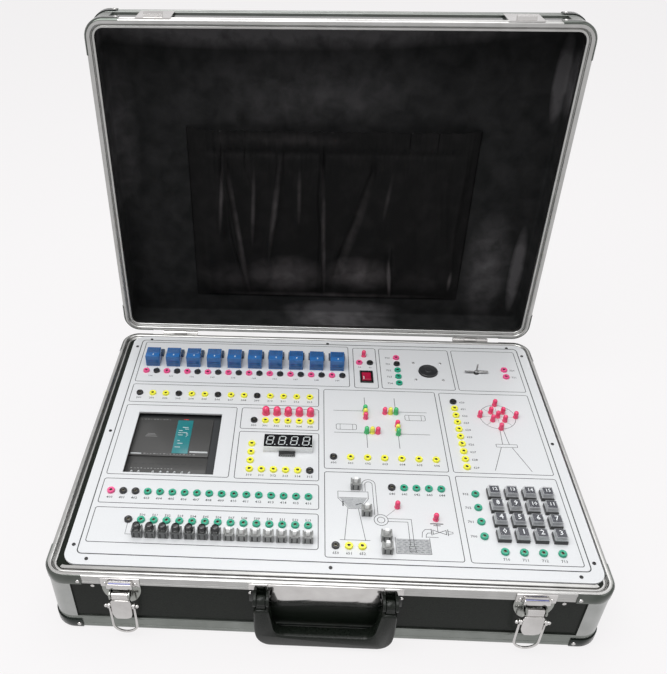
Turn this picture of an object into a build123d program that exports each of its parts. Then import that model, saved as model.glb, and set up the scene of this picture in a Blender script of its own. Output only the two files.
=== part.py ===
"""Training case for programmable logic controllers, open for use, in millimetres.

X runs along the front from left to right, Y from front to back, Z up. The origin lies on the table
under the middle of the base. The lid stands open behind the base, and is built on its own plane:
there X is the same, Y runs from the hinge to the lid's free edge, and Z points out of the lid's mouth.
"""

from build123d import *
import math
import os

os.makedirs("parts", exist_ok=True)

# Case
case_width = 490.0
case_depth = 360.0
base_height = 75.0
lid_height = 45.0
corner_radius = 18.0
board = 5.8
skin = 1.5
lid_lean = 1.0
closing_gap = 0.2

# The panel's layout was drawn for a case of this size, and spreads with the case
drawn_width = 490.0
drawn_depth = 360.0
spread_x = case_width / drawn_width
spread_y = case_depth / drawn_depth

# Rim extrusion round the mouth of each half
rim_leg = 9.6
rim_inner_leg = 7.5
rim_slot = 6.0
bead_width = 5.0
bead_rise = 1.7
bead_flat = 1.6
inner_bead_drop = 3.6
rim_width = skin + board + skin

# Edge extrusions, corner profiles and corner pieces
edge_leg = 17.0
edge_flange = 20.0
lid_edge_leg = 15.0
corner_leg = 23.0
casting_leg = 34.0
casting_height = 10.3
casting_wall = 0.9
foot_leg = 26.0
foot_height = 12.0
foot_wall = 1.2

# Ledge that carries the control panel
ledge_width = 18.0
ledge_height = 15.5
ledge_clearance = 0.1

# Control panel
panel_inset_left = 13.4
panel_inset_front = 13.6
panel_gap = 0.3
panel_thickness = 2.0
panel_drop = 1.5
screw_edge = 6.0
screw_run = 21.0
screw_head_radius = 3.1
screw_head_height = 1.5
hole_clearance = 0.1

# Flats round small turned pieces; those that repeat many times get the fewest
small_round_flats = 6
cheek_flats = 8
turned_flats = 16

# Sockets for 2 mm plugs
socket_radius = 3.75
socket_height = 2.5
socket_bore_side = 2.2
socket_bore_depth = 2.2
socket_pair_reach = 5.95
relay_socket_y = 106.7 * spread_y

# Lamps
small_lamp_radius = 2.5
small_lamp_height = 8.6
large_lamp_radius = 4.0
large_lamp_height = 10.0
lamp_dome_share = 0.8
lamp_dome_taper = 35.0

# Relays
relay_count = 10
relay_pitch = 23.85 * spread_x
relay_first_x = -200.1 * spread_x
relay_width = 16.0
relay_depth = 18.0
relay_height = 15.0
relay_front_y = 116.2 * spread_y
relay_rib_depth = 0.6
relay_rib_count = 3
terminal_width = 19.0
terminal_depth = 10.0
terminal_height = 4.0
terminal_gap = 0.8

# Push switches with a square plunger
switch_width = 9.6
switch_depth = 8.0
switch_height = 7.6
switch_wall = 1.5
switch_wall_rise = 1.6
switch_count = 14
switch_cap_count = 7
switch_first_x = -170.56 * spread_x
switch_pitch = 11.88 * spread_x
switch_y = -131.5 * spread_y
plunger_side = 3.4
plunger_gap = 0.1
plunger_depth = 4.0
plunger_rise = 5.6
plunger_travel = 1.5
cap_radius = 3.9
cap_top_radius = 3.3
cap_height = 4.2
cap_lift = 2.0
cap_flutes = 14
drawn_level_switches = ((29.1, -64.9), (38.2, -97.5), (54.5, -126.6), (54.5, -140.2))
level_switches = [(x * spread_x, y * spread_y) for x, y in drawn_level_switches]

# Keypad
key_columns = 4
key_rows = 4
key_first_x = 160.2 * spread_x
key_first_y = -120.2 * spread_y
key_pitch_x = 16.65 * spread_x
key_pitch_y = 17.0 * spread_y
key_side = 12.0
key_housing_height = 4.0
key_height = 4.4
key_lift = 0.6
key_taper = 14.0
key_travel = 0.4

# Mains rocker switch
rocker_x = 48.1 * spread_x
rocker_y = 106.2 * spread_y
rocker_width = 15.0
rocker_depth = 21.0
rocker_flange = 1.8
rocker_wall = 2.0
rocker_body_depth = 10.0
rocker_tilt = 7.0
rocker_gap = 0.25
rocker_end_rise = 2.6
rocker_middle_rise = 1.2
rocker_keel = 4.0
rocker_keel_inset = 1.3
rocker_pin_radius = 1.0
running_gap = 0.05

# Stepper motor, size 17, hung under the panel
stepper_x = 119.6 * spread_x
stepper_y = 119.2 * spread_y
stepper_side = 42.0
stepper_length = 34.0
stepper_chamfer = 4.0
stepper_screw_pitch = 31.0
stepper_boss_radius = 11.0
stepper_boss_height = 1.8
stepper_shaft_radius = 2.5
stepper_shaft_depth = 12.0
dial_radius = 10.75
dial_thickness = 1.5
dial_lift = 0.9

# Direct-current motor with a small propeller
fan_x = 174.7 * spread_x
fan_y = 119.1 * spread_y
fan_can_radius = 12.0
fan_can_length = 26.0
fan_boss_radius = 3.0
fan_boss_height = 3.0
fan_shaft_radius = 1.0
fan_shaft_depth = 10.0
fan_hub_radius = 2.2
fan_hub_height = 2.6
fan_span = 13.5
fan_blade_width = 4.6
fan_blade_thickness = 0.8
fan_blade_pitch = 18.0
fan_blade_belly = 0.6
fan_pin_height = 9.0

# Four-digit display and its driver chip
display_x = -37.8 * spread_x
display_y = -10.95 * spread_y
display_width = 50.2
display_depth = 18.7
display_height = 8.0
display_chamfer = 0.5
chip_width = 16.5
chip_depth = 5.8
chip_height = 2.6
chip_gap = 0.2
chip_x = display_x - 0.9
chip_y = display_y - (display_depth + chip_depth) / 2 - chip_gap

# Controller seen through the panel's window
window_x = -155.55 * spread_x
window_y = -9.4 * spread_y
window_width = 90.1 * spread_x
window_depth = 90.0 * spread_y
plc_left = -206.0 * spread_x
plc_right = -119.5 * spread_x
plc_front = -47.0 * spread_y
plc_back = 32.6 * spread_y
plc_top_drop = 5.5
plc_step = 6.0
plc_strip_front = 22.0
plc_strip_back = 7.0
plc_rail_width = 35.0
plc_rail_height = 7.5
plc_slot_count = 12
plc_slot_width = 3.2
plc_slot_depth = 2.0

# Hinges between base and lid
hinge_out = 2.4
hinge_x = case_width / 2 - 68.0
hinge_width = 42.0
hinge_leaf = 1.2
hinge_drop = 25.0
hinge_knuckle_radius = 2.3
hinge_pin_radius = 1.1
hinge_gap = 0.25
hinge_middle_share = 14.0

# Draw latches on the front
latch_x = case_width / 2 - 68.0
latch_plate_width = 34.0
latch_plate_low = 41.0
latch_plate_foot = 20.0
latch_plate_shoulder = 54.0
plate_metal = 1.2
latch_pivot_out = 6.5
latch_pivot_z = 60.0
latch_cheek_radius = 4.2
latch_cheek = 1.4
latch_cheek_inner = 7.6
latch_pin_radius = 1.2
lever_gap = 0.2
lever_half_width = 9.0
lever_thickness = 2.0
lever_barrel_radius = 2.5
lever_tip_z = 31.0
lever_step_z = 54.0
bail_pin_z = 46.0
bail_pin_out = 7.6
bail_half_width = 11.9
bail_wire = 2.4
bail_drop = 39.6
bail_corner = 4.0
bail_eye_radius = 2.6
bail_head_radius = 1.9
bail_head_length = 2.4

# Carrying handle on the front
handle_pivot_out = 7.2
handle_pivot_z = 60.5
handle_half_width = 61.5
handle_arm_width = 13.2
handle_inner_low = 42.0
handle_bottom_z = 4.0
handle_grip_height = 14.0
handle_back_out = 2.0
handle_thickness = 12.0
handle_outer_corner = 9.0
handle_inner_corner = 5.0
handle_edge = 2.2
bracket_cheek = 2.6
bracket_radius = 5.5
bracket_gap = 0.3
tongue_radius = 5.0
handle_pin_radius = 2.0
bracket_plate_half_width = 66.0
bracket_plate_low = 50.0
bracket_notch_radius = 14.0
bracket_notch_x = 24.0
bracket_notch_rise = 4.0

# Catches on the lid
catch_wing_width = 34.0
catch_tab_width = 18.6
catch_length = 30.0
catch_tab_start = 2.5
catch_tab_length = 5.5
catch_tab_rise = 4.4
catch_start = 0.8

# Lining and gathered pocket in the lid
lining = 2.0
pocket_left = -158.0 * spread_x
pocket_right = 160.0 * spread_x
pocket_seam = 36.0
pocket_elastic = 218.0 * spread_y
pocket_ruffle = 28.0
pocket_top = pocket_elastic + pocket_ruffle
pocket_side_seam = 12.0
pocket_mouth = 7.4
pocket_toe = 3.0
pocket_taper_v = 110.0 * spread_y
pocket_toe_v = 62.0 * spread_y
fold_ridge = 15.5
fold_valley = 9.6
fold_edge = 2.4
fold_lines = (-136.5, -107.0, -84.0, -60.0, -36.0, -6.0, 41.0, 79.0, 106.0, 136.0)
# The cloth seen from the side: distance from the hinge, and height over the lining
pocket_outline = (
    (pocket_seam, 3.2),
    (120.0 * spread_y, 15.5),
    (pocket_elastic - 14.0, 13.4),
    (pocket_elastic, 10.8),
    (pocket_elastic + 8.0, 11.8),
    (pocket_top, 15.0),
)

# Mains inlet on the back
inlet_x = case_width / 2 - 125.0
inlet_z = 32.0
inlet_flange_width = 50.0
inlet_flange_height = 27.0
inlet_flange = 2.2
inlet_corner = 5.0
inlet_body_width = 31.0
inlet_body_height = 25.0
inlet_mouth_width = 24.4
inlet_mouth_height = 16.6
inlet_depth = 17.0
inlet_back_wall = 2.0
inlet_pin_width = 2.0
inlet_pin_height = 4.0
inlet_pin_length = 9.0
inlet_pin_pitch = 7.0
inlet_pin_offset = 1.2

# Places worked out from the sizes above
front_y = -case_depth / 2
back_y = case_depth / 2
rim_top = base_height - closing_gap
board_top = rim_top - rim_slot
cavity_width = case_width - 2 * (skin + board)
cavity_depth = case_depth - 2 * (skin + board)
panel_top = base_height - panel_drop
panel_bottom = panel_top - panel_thickness
panel_width = case_width - panel_inset_left - bead_width - panel_gap
panel_depth = case_depth - panel_inset_front - bead_width - panel_gap
panel_shift_x = (panel_inset_left - bead_width - panel_gap) / 2
panel_shift_y = (panel_inset_front - bead_width - panel_gap) / 2
panel_corner = corner_radius - bead_width
deck = Plane.XY.offset(panel_top)
under_deck = Plane.XY.offset(panel_bottom)
hinge_y = back_y + hinge_out
hinge_z = base_height
lean = math.radians(lid_lean)
lid_plane = Plane(
    origin=(0, hinge_y, hinge_z),
    x_dir=(1, 0, 0),
    z_dir=(0, -math.cos(lean), math.sin(lean)),
)
lid_middle = hinge_out + case_depth / 2
lid_far = hinge_out + case_depth
lining_face = lid_height - skin - board - lining


def box_between(x0, x1, y0, y1, z0, z1, mode=Mode.ADD):
    """A block between two corners, in the block that is open."""
    with BuildSketch(Plane.XY.offset(z0)) as outline:
        with Locations(((x0 + x1) / 2, (y0 + y1) / 2)):
            Rectangle(x1 - x0, y1 - y0)
    extrude(outline.sketch, amount=z1 - z0, mode=mode)


def lid_box(u0, u1, v0, v1, w0, w1, mode=Mode.ADD):
    """A block in the lid, between two corners; w is counted back from the mouth."""
    with BuildSketch(lid_plane.offset(-w1)) as outline:
        with Locations(((u0 + u1) / 2, (v0 + v1) / 2)):
            Rectangle(u1 - u0, v1 - v0)
    extrude(outline.sketch, amount=w1 - w0, mode=mode)


def rod_along_x(x0, x1, y, z, radius, mode=Mode.ADD):
    """A round rod from x0 to x1."""
    with BuildSketch(Plane.YZ.offset(x0)) as outline:
        with Locations((y, z)):
            Circle(radius)
    extrude(outline.sketch, amount=x1 - x0, mode=mode)


def bore_along_x(x0, x1, y, z, pin_radius):
    """A bore with flats that just clear a round pin, cut from x0 to x1."""
    with BuildSketch(Plane.YZ.offset(x0)) as outline:
        with Locations((y, z)):
            RegularPolygon(pin_radius + running_gap, cheek_flats, major_radius=False)
    extrude(outline.sketch, amount=x1 - x0, mode=Mode.SUBTRACT)


def rim_ring(plane, middle):
    """The rim extrusion, swept round half the mouth and mirrored. Its top lies on the plane."""
    half_width = case_width / 2
    half_depth = case_depth / 2
    with BuildLine(plane) as run:
        FilletPolyline(
            (0, middle - half_depth),
            (half_width, middle - half_depth),
            (half_width, middle + half_depth),
            (0, middle + half_depth),
            radius=corner_radius,
        )
    start = plane.from_local_coords((0, middle - half_depth, 0))
    across = plane.y_dir
    with BuildSketch(Plane(origin=start, x_dir=across, z_dir=plane.x_dir)) as section:
        with BuildLine():
            Polyline(
                (0, -rim_leg),
                (0, -bead_rise),
                (bead_flat, 0),
                (bead_width - bead_flat, 0),
                (bead_width, -bead_rise),
                (bead_width, -inner_bead_drop),
                (rim_width, -inner_bead_drop),
                (rim_width, -rim_inner_leg),
                (rim_width - skin, -rim_inner_leg),
                (rim_width - skin, -rim_slot),
                (skin, -rim_slot),
                (skin, -rim_leg),
                close=True,
            )
        make_face()
    half = sweep(section.sketch, path=run.line)
    mirror(half, about=Plane.YZ)


def corner_strips(plane, middle, inset, wall, leg, height):
    """Four angle strips round the upright corners, wall thick, standing on the plane."""
    width = case_width - 2 * inset
    depth = case_depth - 2 * inset
    with BuildSketch(plane) as outline:
        with Locations((0, middle)):
            RectangleRounded(width, depth, corner_radius - inset)
            RectangleRounded(
                width - 2 * wall, depth - 2 * wall, corner_radius - inset - wall, mode=Mode.SUBTRACT
            )
            Rectangle(case_width - 2 * leg, depth + 2 * wall, mode=Mode.SUBTRACT)
            Rectangle(width + 2 * wall, case_depth - 2 * leg, mode=Mode.SUBTRACT)
    extrude(outline.sketch, amount=height)


def ring(plane, middle, inset, wall, height):
    """A closed band, wall thick, that follows the case's outline."""
    width = case_width - 2 * inset
    depth = case_depth - 2 * inset
    radius = corner_radius - inset
    with BuildSketch(plane) as outline:
        with Locations((0, middle)):
            RectangleRounded(width, depth, radius)
            if radius > wall:
                RectangleRounded(width - 2 * wall, depth - 2 * wall, radius - wall, mode=Mode.SUBTRACT)
            else:
                Rectangle(width - 2 * wall, depth - 2 * wall, mode=Mode.SUBTRACT)
    extrude(outline.sketch, amount=height)


def screw_places():
    """Centres of the panel's screws: two by each corner and one in the middle of each side."""
    reach_x = panel_width / 2 - screw_edge
    reach_y = panel_depth / 2 - screw_edge
    run_x = panel_width / 2 - screw_run
    run_y = panel_depth / 2 - screw_run
    corner = [(reach_x, run_y), (run_x, reach_y)]
    places = [(side * x, end * y) for x, y in corner for side in (-1, 1) for end in (-1, 1)]
    places += [(-reach_x, 0), (reach_x, 0), (0, -reach_y), (0, reach_y)]
    return [(panel_shift_x + x, panel_shift_y + y) for x, y in places]


def save(piece, name):
    """Label a finished piece and write it."""
    piece.part.label = name
    export_step(piece.part, f"parts/{name}.step")


# Base boards: a plywood box with a rebated ledge round its mouth that carries the control panel
with BuildPart() as base_boards:
    with BuildSketch(Plane.XY.offset(skin)):
        RectangleRounded(case_width - 2 * skin, case_depth - 2 * skin, corner_radius - skin)
    extrude(amount=board_top - skin)
    with BuildSketch(Plane.XY.offset(skin + board)):
        Rectangle(cavity_width, cavity_depth)
    extrude(amount=board_top, mode=Mode.SUBTRACT)
    ledge_bottom = panel_bottom - ledge_height
    rebate_z = rim_top - rim_inner_leg - ledge_clearance
    ring(Plane.XY.offset(ledge_bottom), 0, skin + board, ledge_width, rebate_z - ledge_bottom)
    ring(
        Plane.XY.offset(rebate_z),
        0,
        rim_width + ledge_clearance,
        ledge_width - skin - ledge_clearance,
        panel_bottom - rebate_z,
    )
    with BuildSketch(Plane.XZ.offset(-back_y - skin)):
        with Locations((inlet_x, inlet_z)):
            Rectangle(inlet_body_width + 2 * hole_clearance, inlet_body_height + 2 * hole_clearance)
    extrude(amount=2 * (skin + board), mode=Mode.SUBTRACT)
save(base_boards, "base_boards")

# Base frame: rim, corner profiles, bottom edges, corner castings and feet of aluminium
with BuildPart() as base_frame:
    rim_ring(Plane.XY.offset(rim_top), 0)
    ring(Plane.XY, 0, 0, skin, edge_leg)
    ring(Plane.XY, 0, skin, edge_flange - skin, skin)
    corner_strips(Plane.XY.offset(edge_leg), 0, 0, skin, corner_leg, rim_top - rim_leg - edge_leg)
    corner_strips(
        Plane.XY.offset(rim_top - casting_height), 0, -casting_wall, casting_wall, casting_leg,
        casting_height - bead_rise,
    )
    corner_strips(Plane.XY, 0, -foot_wall, foot_wall, foot_leg, foot_height)
save(base_frame, "base_frame")


def joggled_plate(x, half_width, low, high):
    """A pressed plate on the front: its foot lies on the board, its head on the rim's leg."""
    board_y = front_y + skin
    leg_low = rim_top - rim_leg
    with BuildPart() as plate:
        with BuildSketch(Plane.YZ.offset(x - half_width)):
            with BuildLine():
                Polyline(
                    (board_y, low),
                    (board_y, leg_low),
                    (front_y, leg_low),
                    (front_y, high),
                    (front_y - plate_metal, high),
                    (front_y - plate_metal, leg_low - plate_metal),
                    (board_y - plate_metal, leg_low - plate_metal),
                    (board_y - plate_metal, low),
                    close=True,
                )
            make_face()
        extrude(amount=2 * half_width)
    return plate.part


def latch_plate(x):
    """The draw latch's back plate, cut to a shield, with two cheeks for the lever's pin."""
    plate = joggled_plate(x, latch_plate_width / 2, latch_plate_low, rim_top)
    pivot_y = front_y - latch_pivot_out
    with BuildPart() as latch:
        add(plate)
        with BuildSketch(Plane.XZ.offset(-front_y - 2 * skin)):
            with BuildLine():
                Polyline(
                    (x - latch_plate_foot / 2, latch_plate_low),
                    (x - latch_plate_width / 2, latch_plate_shoulder),
                    (x - latch_plate_width / 2, rim_top),
                    (x + latch_plate_width / 2, rim_top),
                    (x + latch_plate_width / 2, latch_plate_shoulder),
                    (x + latch_plate_foot / 2, latch_plate_low),
                    close=True,
                )
            make_face()
        extrude(amount=4 * skin + plate_metal, mode=Mode.INTERSECT)
        for side in (-1, 1):
            start = x + side * latch_cheek_inner + (side - 1) / 2 * latch_cheek
            with BuildSketch(Plane.YZ.offset(start)):
                with Locations((pivot_y, latch_pivot_z)):
                    RegularPolygon(latch_cheek_radius, cheek_flats)
                with Locations(((pivot_y + front_y + skin - plate_metal) / 2, latch_pivot_z)):
                    Rectangle(front_y + skin - plate_metal - pivot_y, 2 * latch_cheek_radius)
            extrude(amount=latch_cheek)
        reach = latch_cheek_inner + latch_cheek
        rod_along_x(x - reach, x + reach, pivot_y, latch_pivot_z, latch_pin_radius)
    return latch.part


def handle_bracket():
    """The plate under the carrying handle, with a pair of cheeks and a pin at each end."""
    plate = joggled_plate(0, bracket_plate_half_width, bracket_plate_low, rim_top)
    pivot_y = front_y - handle_pivot_out
    outer = handle_half_width + bracket_gap
    inner = handle_half_width - handle_arm_width
    with BuildPart() as bracket:
        add(plate)
        with BuildSketch(Plane.XZ.offset(-front_y - 2 * skin)):
            notch_z = bracket_plate_low + bracket_notch_rise - bracket_notch_radius
            with Locations((-bracket_notch_x, notch_z), (bracket_notch_x, notch_z)):
                RegularPolygon(bracket_notch_radius, turned_flats)
        extrude(amount=4 * skin + plate_metal, mode=Mode.SUBTRACT)
        for side in (-1, 1):
            for edge in (inner, outer - bracket_cheek):
                start = side * edge + (side - 1) / 2 * bracket_cheek
                with BuildSketch(Plane.YZ.offset(start)):
                    with Locations((pivot_y, handle_pivot_z)):
                        RegularPolygon(bracket_radius, cheek_flats)
                    with Locations(((pivot_y + front_y) / 2, handle_pivot_z)):
                        Rectangle(front_y - pivot_y, 2 * bracket_radius)
                extrude(amount=bracket_cheek)
            start = side * inner + (side - 1) / 2 * (outer - inner)
            rod_along_x(
                start, start + outer - inner, pivot_y, handle_pivot_z, handle_pin_radius
            )
    return bracket.part


def knuckle(x0, x1):
    """One knuckle of a hinge, with flats for a low face count."""
    with BuildSketch(Plane.YZ.offset(x0)) as outline:
        with Locations((hinge_y, hinge_z)):
            RegularPolygon(hinge_knuckle_radius, turned_flats)
    extrude(outline.sketch, amount=x1 - x0)


def hinge_leaf_of_base(x):
    """The base's half of a butt hinge: leaf, two knuckles and the pin."""
    half = hinge_width / 2
    middle = hinge_middle_share / 2
    with BuildPart() as leaf:
        box_between(
            x - half, x + half, back_y, back_y + hinge_leaf,
            hinge_z - hinge_drop, hinge_z - hinge_out - hinge_gap,
        )
        for start, end in ((x - half, x - middle - hinge_gap), (x + middle + hinge_gap, x + half)):
            box_between(
                start, end, back_y, back_y + hinge_leaf, hinge_z - hinge_out - hinge_gap, hinge_z
            )
            knuckle(start, end)
        rod_along_x(x - half, x + half, hinge_y, hinge_z, hinge_pin_radius)
    return leaf.part


# Base fittings: hinge leaves and pins, latch plates and the handle's bracket
base_fitting_pieces = [hinge_leaf_of_base(side * hinge_x) for side in (-1, 1)]
base_fitting_pieces += [latch_plate(side * latch_x) for side in (-1, 1)]
base_fitting_pieces.append(handle_bracket())
with BuildPart() as base_fittings:
    add(base_fitting_pieces)
save(base_fittings, "base_fittings")

# Control panel: a sheet with the controller's window and holes for the rocker and the motors
with BuildPart() as control_panel:
    with BuildSketch(under_deck):
        with Locations((panel_shift_x, panel_shift_y)):
            RectangleRounded(panel_width, panel_depth, panel_corner)
        with Locations((window_x, window_y)):
            Rectangle(window_width, window_depth, mode=Mode.SUBTRACT)
        with Locations((rocker_x, rocker_y)):
            Rectangle(
                rocker_width - 2 * rocker_gap - rocker_wall,
                rocker_depth - 2 * rocker_gap - rocker_wall,
                mode=Mode.SUBTRACT,
            )
        with Locations((stepper_x, stepper_y)):
            Circle(stepper_boss_radius + hole_clearance, mode=Mode.SUBTRACT)
        with Locations((fan_x, fan_y)):
            Circle(fan_boss_radius + hole_clearance, mode=Mode.SUBTRACT)
    extrude(amount=panel_thickness)
save(control_panel, "control_panel")

# Panel screws: the heads of the screws that hold the panel on its ledge
with BuildPart() as panel_screws:
    with BuildSketch(deck):
        with Locations(*screw_places()):
            RegularPolygon(screw_head_radius, small_round_flats)
    extrude(amount=screw_head_height)
save(panel_screws, "panel_screws")


def row(x, y, count, step_x=0.0, step_y=0.0):
    """Places in a line: the first, how many there are, and the step from each to the next."""
    return [(x + i * step_x, y + i * step_y) for i in range(count)]


def spread(places):
    """Places of the drawn layout, spread to the case's own size."""
    return [(x * spread_x, y * spread_y) for x, y in places]


# Socket rows, section by section from the back of the panel to the front
relay_sockets = [
    (x + side * socket_pair_reach, relay_socket_y)
    for x, _ in row(relay_first_x, 0, relay_count, relay_pitch)
    for side in (-1, 1)
]
drawn_rows = [
    row(40.8, 132.3, 2, step_x=12.4),
    row(84.5, 143.4, 5, step_y=-11.8),
    row(207.4, 125.2, 2, step_y=-12.6),
    row(-206.2, 66.9, 14, step_x=14.6),
    row(-75.4, 26.7, 6, step_x=12.0),
    row(-75.3, -45.5, 6, step_x=12.0),
    row(-75.3, -33.5, 3, step_y=12.0),
    row(-206.2, -80.0, 17, step_x=11.88),
    row(-182.4, -115.0, 15, step_x=11.88),
    row(8.5, -24.8, 7, step_x=17.15),
    row(140.8, 66.0, 10, step_y=-11.05),
    row(64.0, -64.4, 5, step_x=11.87),
    row(8.8, -136.5, 3, step_x=11.9),
    row(143.2, -120.3, 4, step_y=17.0),
    row(158.5, -137.0, 4, step_x=16.7),
]
socket_rows = [relay_sockets] + [spread(places) for places in drawn_rows]

# Sockets: collars on the panel, each with a hole for a 2 mm plug
with BuildPart() as sockets:
    for places in socket_rows:
        with BuildSketch(deck):
            with Locations(*places):
                RegularPolygon(socket_radius, small_round_flats)
        extrude(amount=socket_height)
        with BuildSketch(Plane.XY.offset(panel_top + socket_height)):
            with Locations(*places):
                Rectangle(socket_bore_side, socket_bore_side)
        extrude(amount=-socket_bore_depth, mode=Mode.SUBTRACT)
save(sockets, "sockets")

# Lamps: large ones over the display, small ones at the road crossing, the tower and the tank
lamp_ring = 19.0
lamp_square = 6.4
tower_x = 185.2
tower_y = 43.9
large_lamps = spread(row(-63.4, 38.5, 5, step_x=12.0))
small_lamps = [(46.6, 146.0), (67.5, -88.7), (101.8, -102.2), (tower_x, tower_y)]
small_lamps += [(tower_x + side * lamp_ring, tower_y) for side in (-1, 1)]
small_lamps += [(tower_x, tower_y + side * lamp_ring) for side in (-1, 1)]
small_lamps += [
    (tower_x + side * lamp_square, tower_y + end * lamp_square) for side in (-1, 1) for end in (-1, 1)
]
small_lamps += row(43.7, 35.5, 3, step_y=6.1)
small_lamps += row(64.7, 44.4, 3, step_x=5.95)
small_lamps += row(76.6, 24.4, 3, step_y=-6.35)
small_lamps += row(43.7, 13.0, 3, step_x=5.9)
small_lamps = spread(small_lamps)
with BuildPart() as indicator_lamps:
    for places, radius, height in (
        (large_lamps, large_lamp_radius, large_lamp_height),
        (small_lamps, small_lamp_radius, small_lamp_height),
    ):
        dome = radius * lamp_dome_share
        with BuildSketch(deck):
            with Locations(*places):
                RegularPolygon(radius, small_round_flats)
        extrude(amount=height - dome)
        with BuildSketch(Plane.XY.offset(panel_top + height - dome)):
            with Locations(*places):
                RegularPolygon(radius, small_round_flats)
        extrude(amount=dome, taper=lamp_dome_taper)
save(indicator_lamps, "indicator_lamps")

# Relays: a ribbed cover and, behind it, a low terminal bar
relay_places = row(relay_first_x, relay_front_y + relay_depth / 2, relay_count, relay_pitch)
terminal_y = relay_front_y + relay_depth + terminal_gap + terminal_depth / 2
terminal_places = row(relay_first_x, terminal_y, relay_count, relay_pitch)
with BuildPart() as relays:
    with BuildSketch(deck):
        with Locations(*relay_places):
            Rectangle(relay_width, relay_depth)
    extrude(amount=relay_height)
    with BuildSketch(Plane.XY.offset(panel_top + relay_height)):
        with Locations(*[(x, y + relay_depth / 4) for x, y in relay_places]):
            with GridLocations(relay_width / relay_rib_count, 0, relay_rib_count, 1):
                Rectangle(relay_width / relay_rib_count / 2, relay_depth / 3)
    extrude(amount=-relay_rib_depth, mode=Mode.SUBTRACT)
    with BuildSketch(deck):
        with Locations(*terminal_places):
            Rectangle(terminal_width, terminal_depth)
    extrude(amount=terminal_height)
save(relays, "relays")


def switch_body(places):
    """Bodies of push switches: a block with a raised wall at each end and a square well."""
    with BuildSketch(deck) as base:
        with Locations(*places):
            Rectangle(switch_width, switch_depth)
    extrude(base.sketch, amount=switch_height)
    with BuildSketch(Plane.XY.offset(panel_top + switch_height)) as walls:
        reach = (switch_width - switch_wall) / 2
        with Locations(*[(x + side * reach, y) for x, y in places for side in (-1, 1)]):
            Rectangle(switch_wall, switch_depth)
    extrude(walls.sketch, amount=switch_wall_rise)
    well = plunger_side + 2 * plunger_gap
    depth = plunger_depth + plunger_travel + plunger_gap
    with BuildSketch(Plane.XY.offset(panel_top + switch_height)) as wells:
        with Locations(*places):
            Rectangle(well, well)
    extrude(wells.sketch, amount=-depth, mode=Mode.SUBTRACT)


# Switch bodies: push switches, key housings and the rocker's frame
push_places = row(switch_first_x, switch_y, switch_count, switch_pitch)
key_places = [
    (x, y)
    for _, y in row(0, key_first_y, key_rows, step_y=key_pitch_y)
    for x, _ in row(key_first_x, 0, key_columns, step_x=key_pitch_x)
]
rocker_axis_z = panel_top - rocker_flange / 2
rocker_well_width = rocker_width - 2 * rocker_wall
rocker_well_depth = rocker_depth - 2 * rocker_wall
with BuildPart() as switch_bodies:
    switch_body(push_places)
    switch_body(level_switches)
    with BuildSketch(deck):
        with Locations(*key_places):
            Rectangle(key_side, key_side)
            Rectangle(plunger_side + 2 * plunger_gap, plunger_side + 2 * plunger_gap, mode=Mode.SUBTRACT)
    extrude(amount=key_housing_height)
    with BuildSketch(deck):
        with Locations((rocker_x, rocker_y)):
            Rectangle(rocker_width, rocker_depth)
    extrude(amount=rocker_flange)
    with BuildSketch(deck):
        with Locations((rocker_x, rocker_y)):
            body_gap = rocker_wall + 4 * rocker_gap
            Rectangle(rocker_width - body_gap, rocker_depth - body_gap)
    extrude(amount=-rocker_body_depth)
    with BuildSketch(Plane.XY.offset(panel_top + rocker_flange)):
        with Locations((rocker_x, rocker_y)):
            Rectangle(rocker_well_width, rocker_well_depth)
    extrude(amount=-rocker_flange - rocker_body_depth + rocker_wall / 2, mode=Mode.SUBTRACT)
    seat = rocker_pin_radius + running_gap
    box_between(
        rocker_x - rocker_width / 2 + rocker_wall / 2, rocker_x + rocker_width / 2 - rocker_wall / 2,
        rocker_y - seat, rocker_y + seat, rocker_axis_z - seat, rocker_axis_z + seat, Mode.SUBTRACT,
    )
save(switch_bodies, "switch_bodies")

# Rocker: a shallow V on a pin, resting with its back half down
with BuildPart() as rocker:
    half_width = rocker_well_width / 2 - rocker_gap
    half_depth = rocker_well_depth / 2 - 2 * rocker_gap
    turn = math.radians(rocker_tilt)
    outline = [
        (-half_depth, rocker_end_rise),
        (0, rocker_middle_rise),
        (half_depth, rocker_end_rise),
        (half_depth - rocker_keel_inset, -rocker_keel),
        (rocker_keel_inset - half_depth, -rocker_keel),
    ]
    turned = [
        (
            rocker_y + y * math.cos(turn) + z * math.sin(turn),
            rocker_axis_z + z * math.cos(turn) - y * math.sin(turn),
        )
        for y, z in outline
    ]
    with BuildSketch(Plane.YZ.offset(rocker_x - half_width)):
        with BuildLine():
            Polyline(*turned, close=True)
        make_face()
    extrude(amount=2 * half_width)
    pin_reach = rocker_width / 2 - rocker_wall / 2 - rocker_gap
    rod_along_x(rocker_x - pin_reach, rocker_x + pin_reach, rocker_y, rocker_axis_z, rocker_pin_radius)
save(rocker, "rocker")


def plunger(name, x, y, capped):
    """A switch's square plunger; the first switches carry a many-sided cap on it."""
    top = panel_top + switch_height
    with BuildPart() as piece:
        with BuildSketch(Plane.XY.offset(top - plunger_depth)):
            with Locations((x, y)):
                Rectangle(plunger_side, plunger_side)
        extrude(amount=plunger_depth + (cap_lift if capped else plunger_rise))
        if capped:
            cap_foot = top + switch_wall_rise + plunger_travel + running_gap
            draft = math.degrees(math.atan((cap_radius - cap_top_radius) / cap_height))
            with BuildSketch(Plane.XY.offset(cap_foot)):
                with Locations((x, y)):
                    RegularPolygon(cap_radius, cap_flutes)
            extrude(amount=cap_height, taper=draft)
            with BuildSketch(Plane.XY.offset(top)):
                with Locations((x, y)):
                    Rectangle(plunger_side, plunger_side)
            extrude(amount=cap_foot - top)
    save(piece, name)


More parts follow.
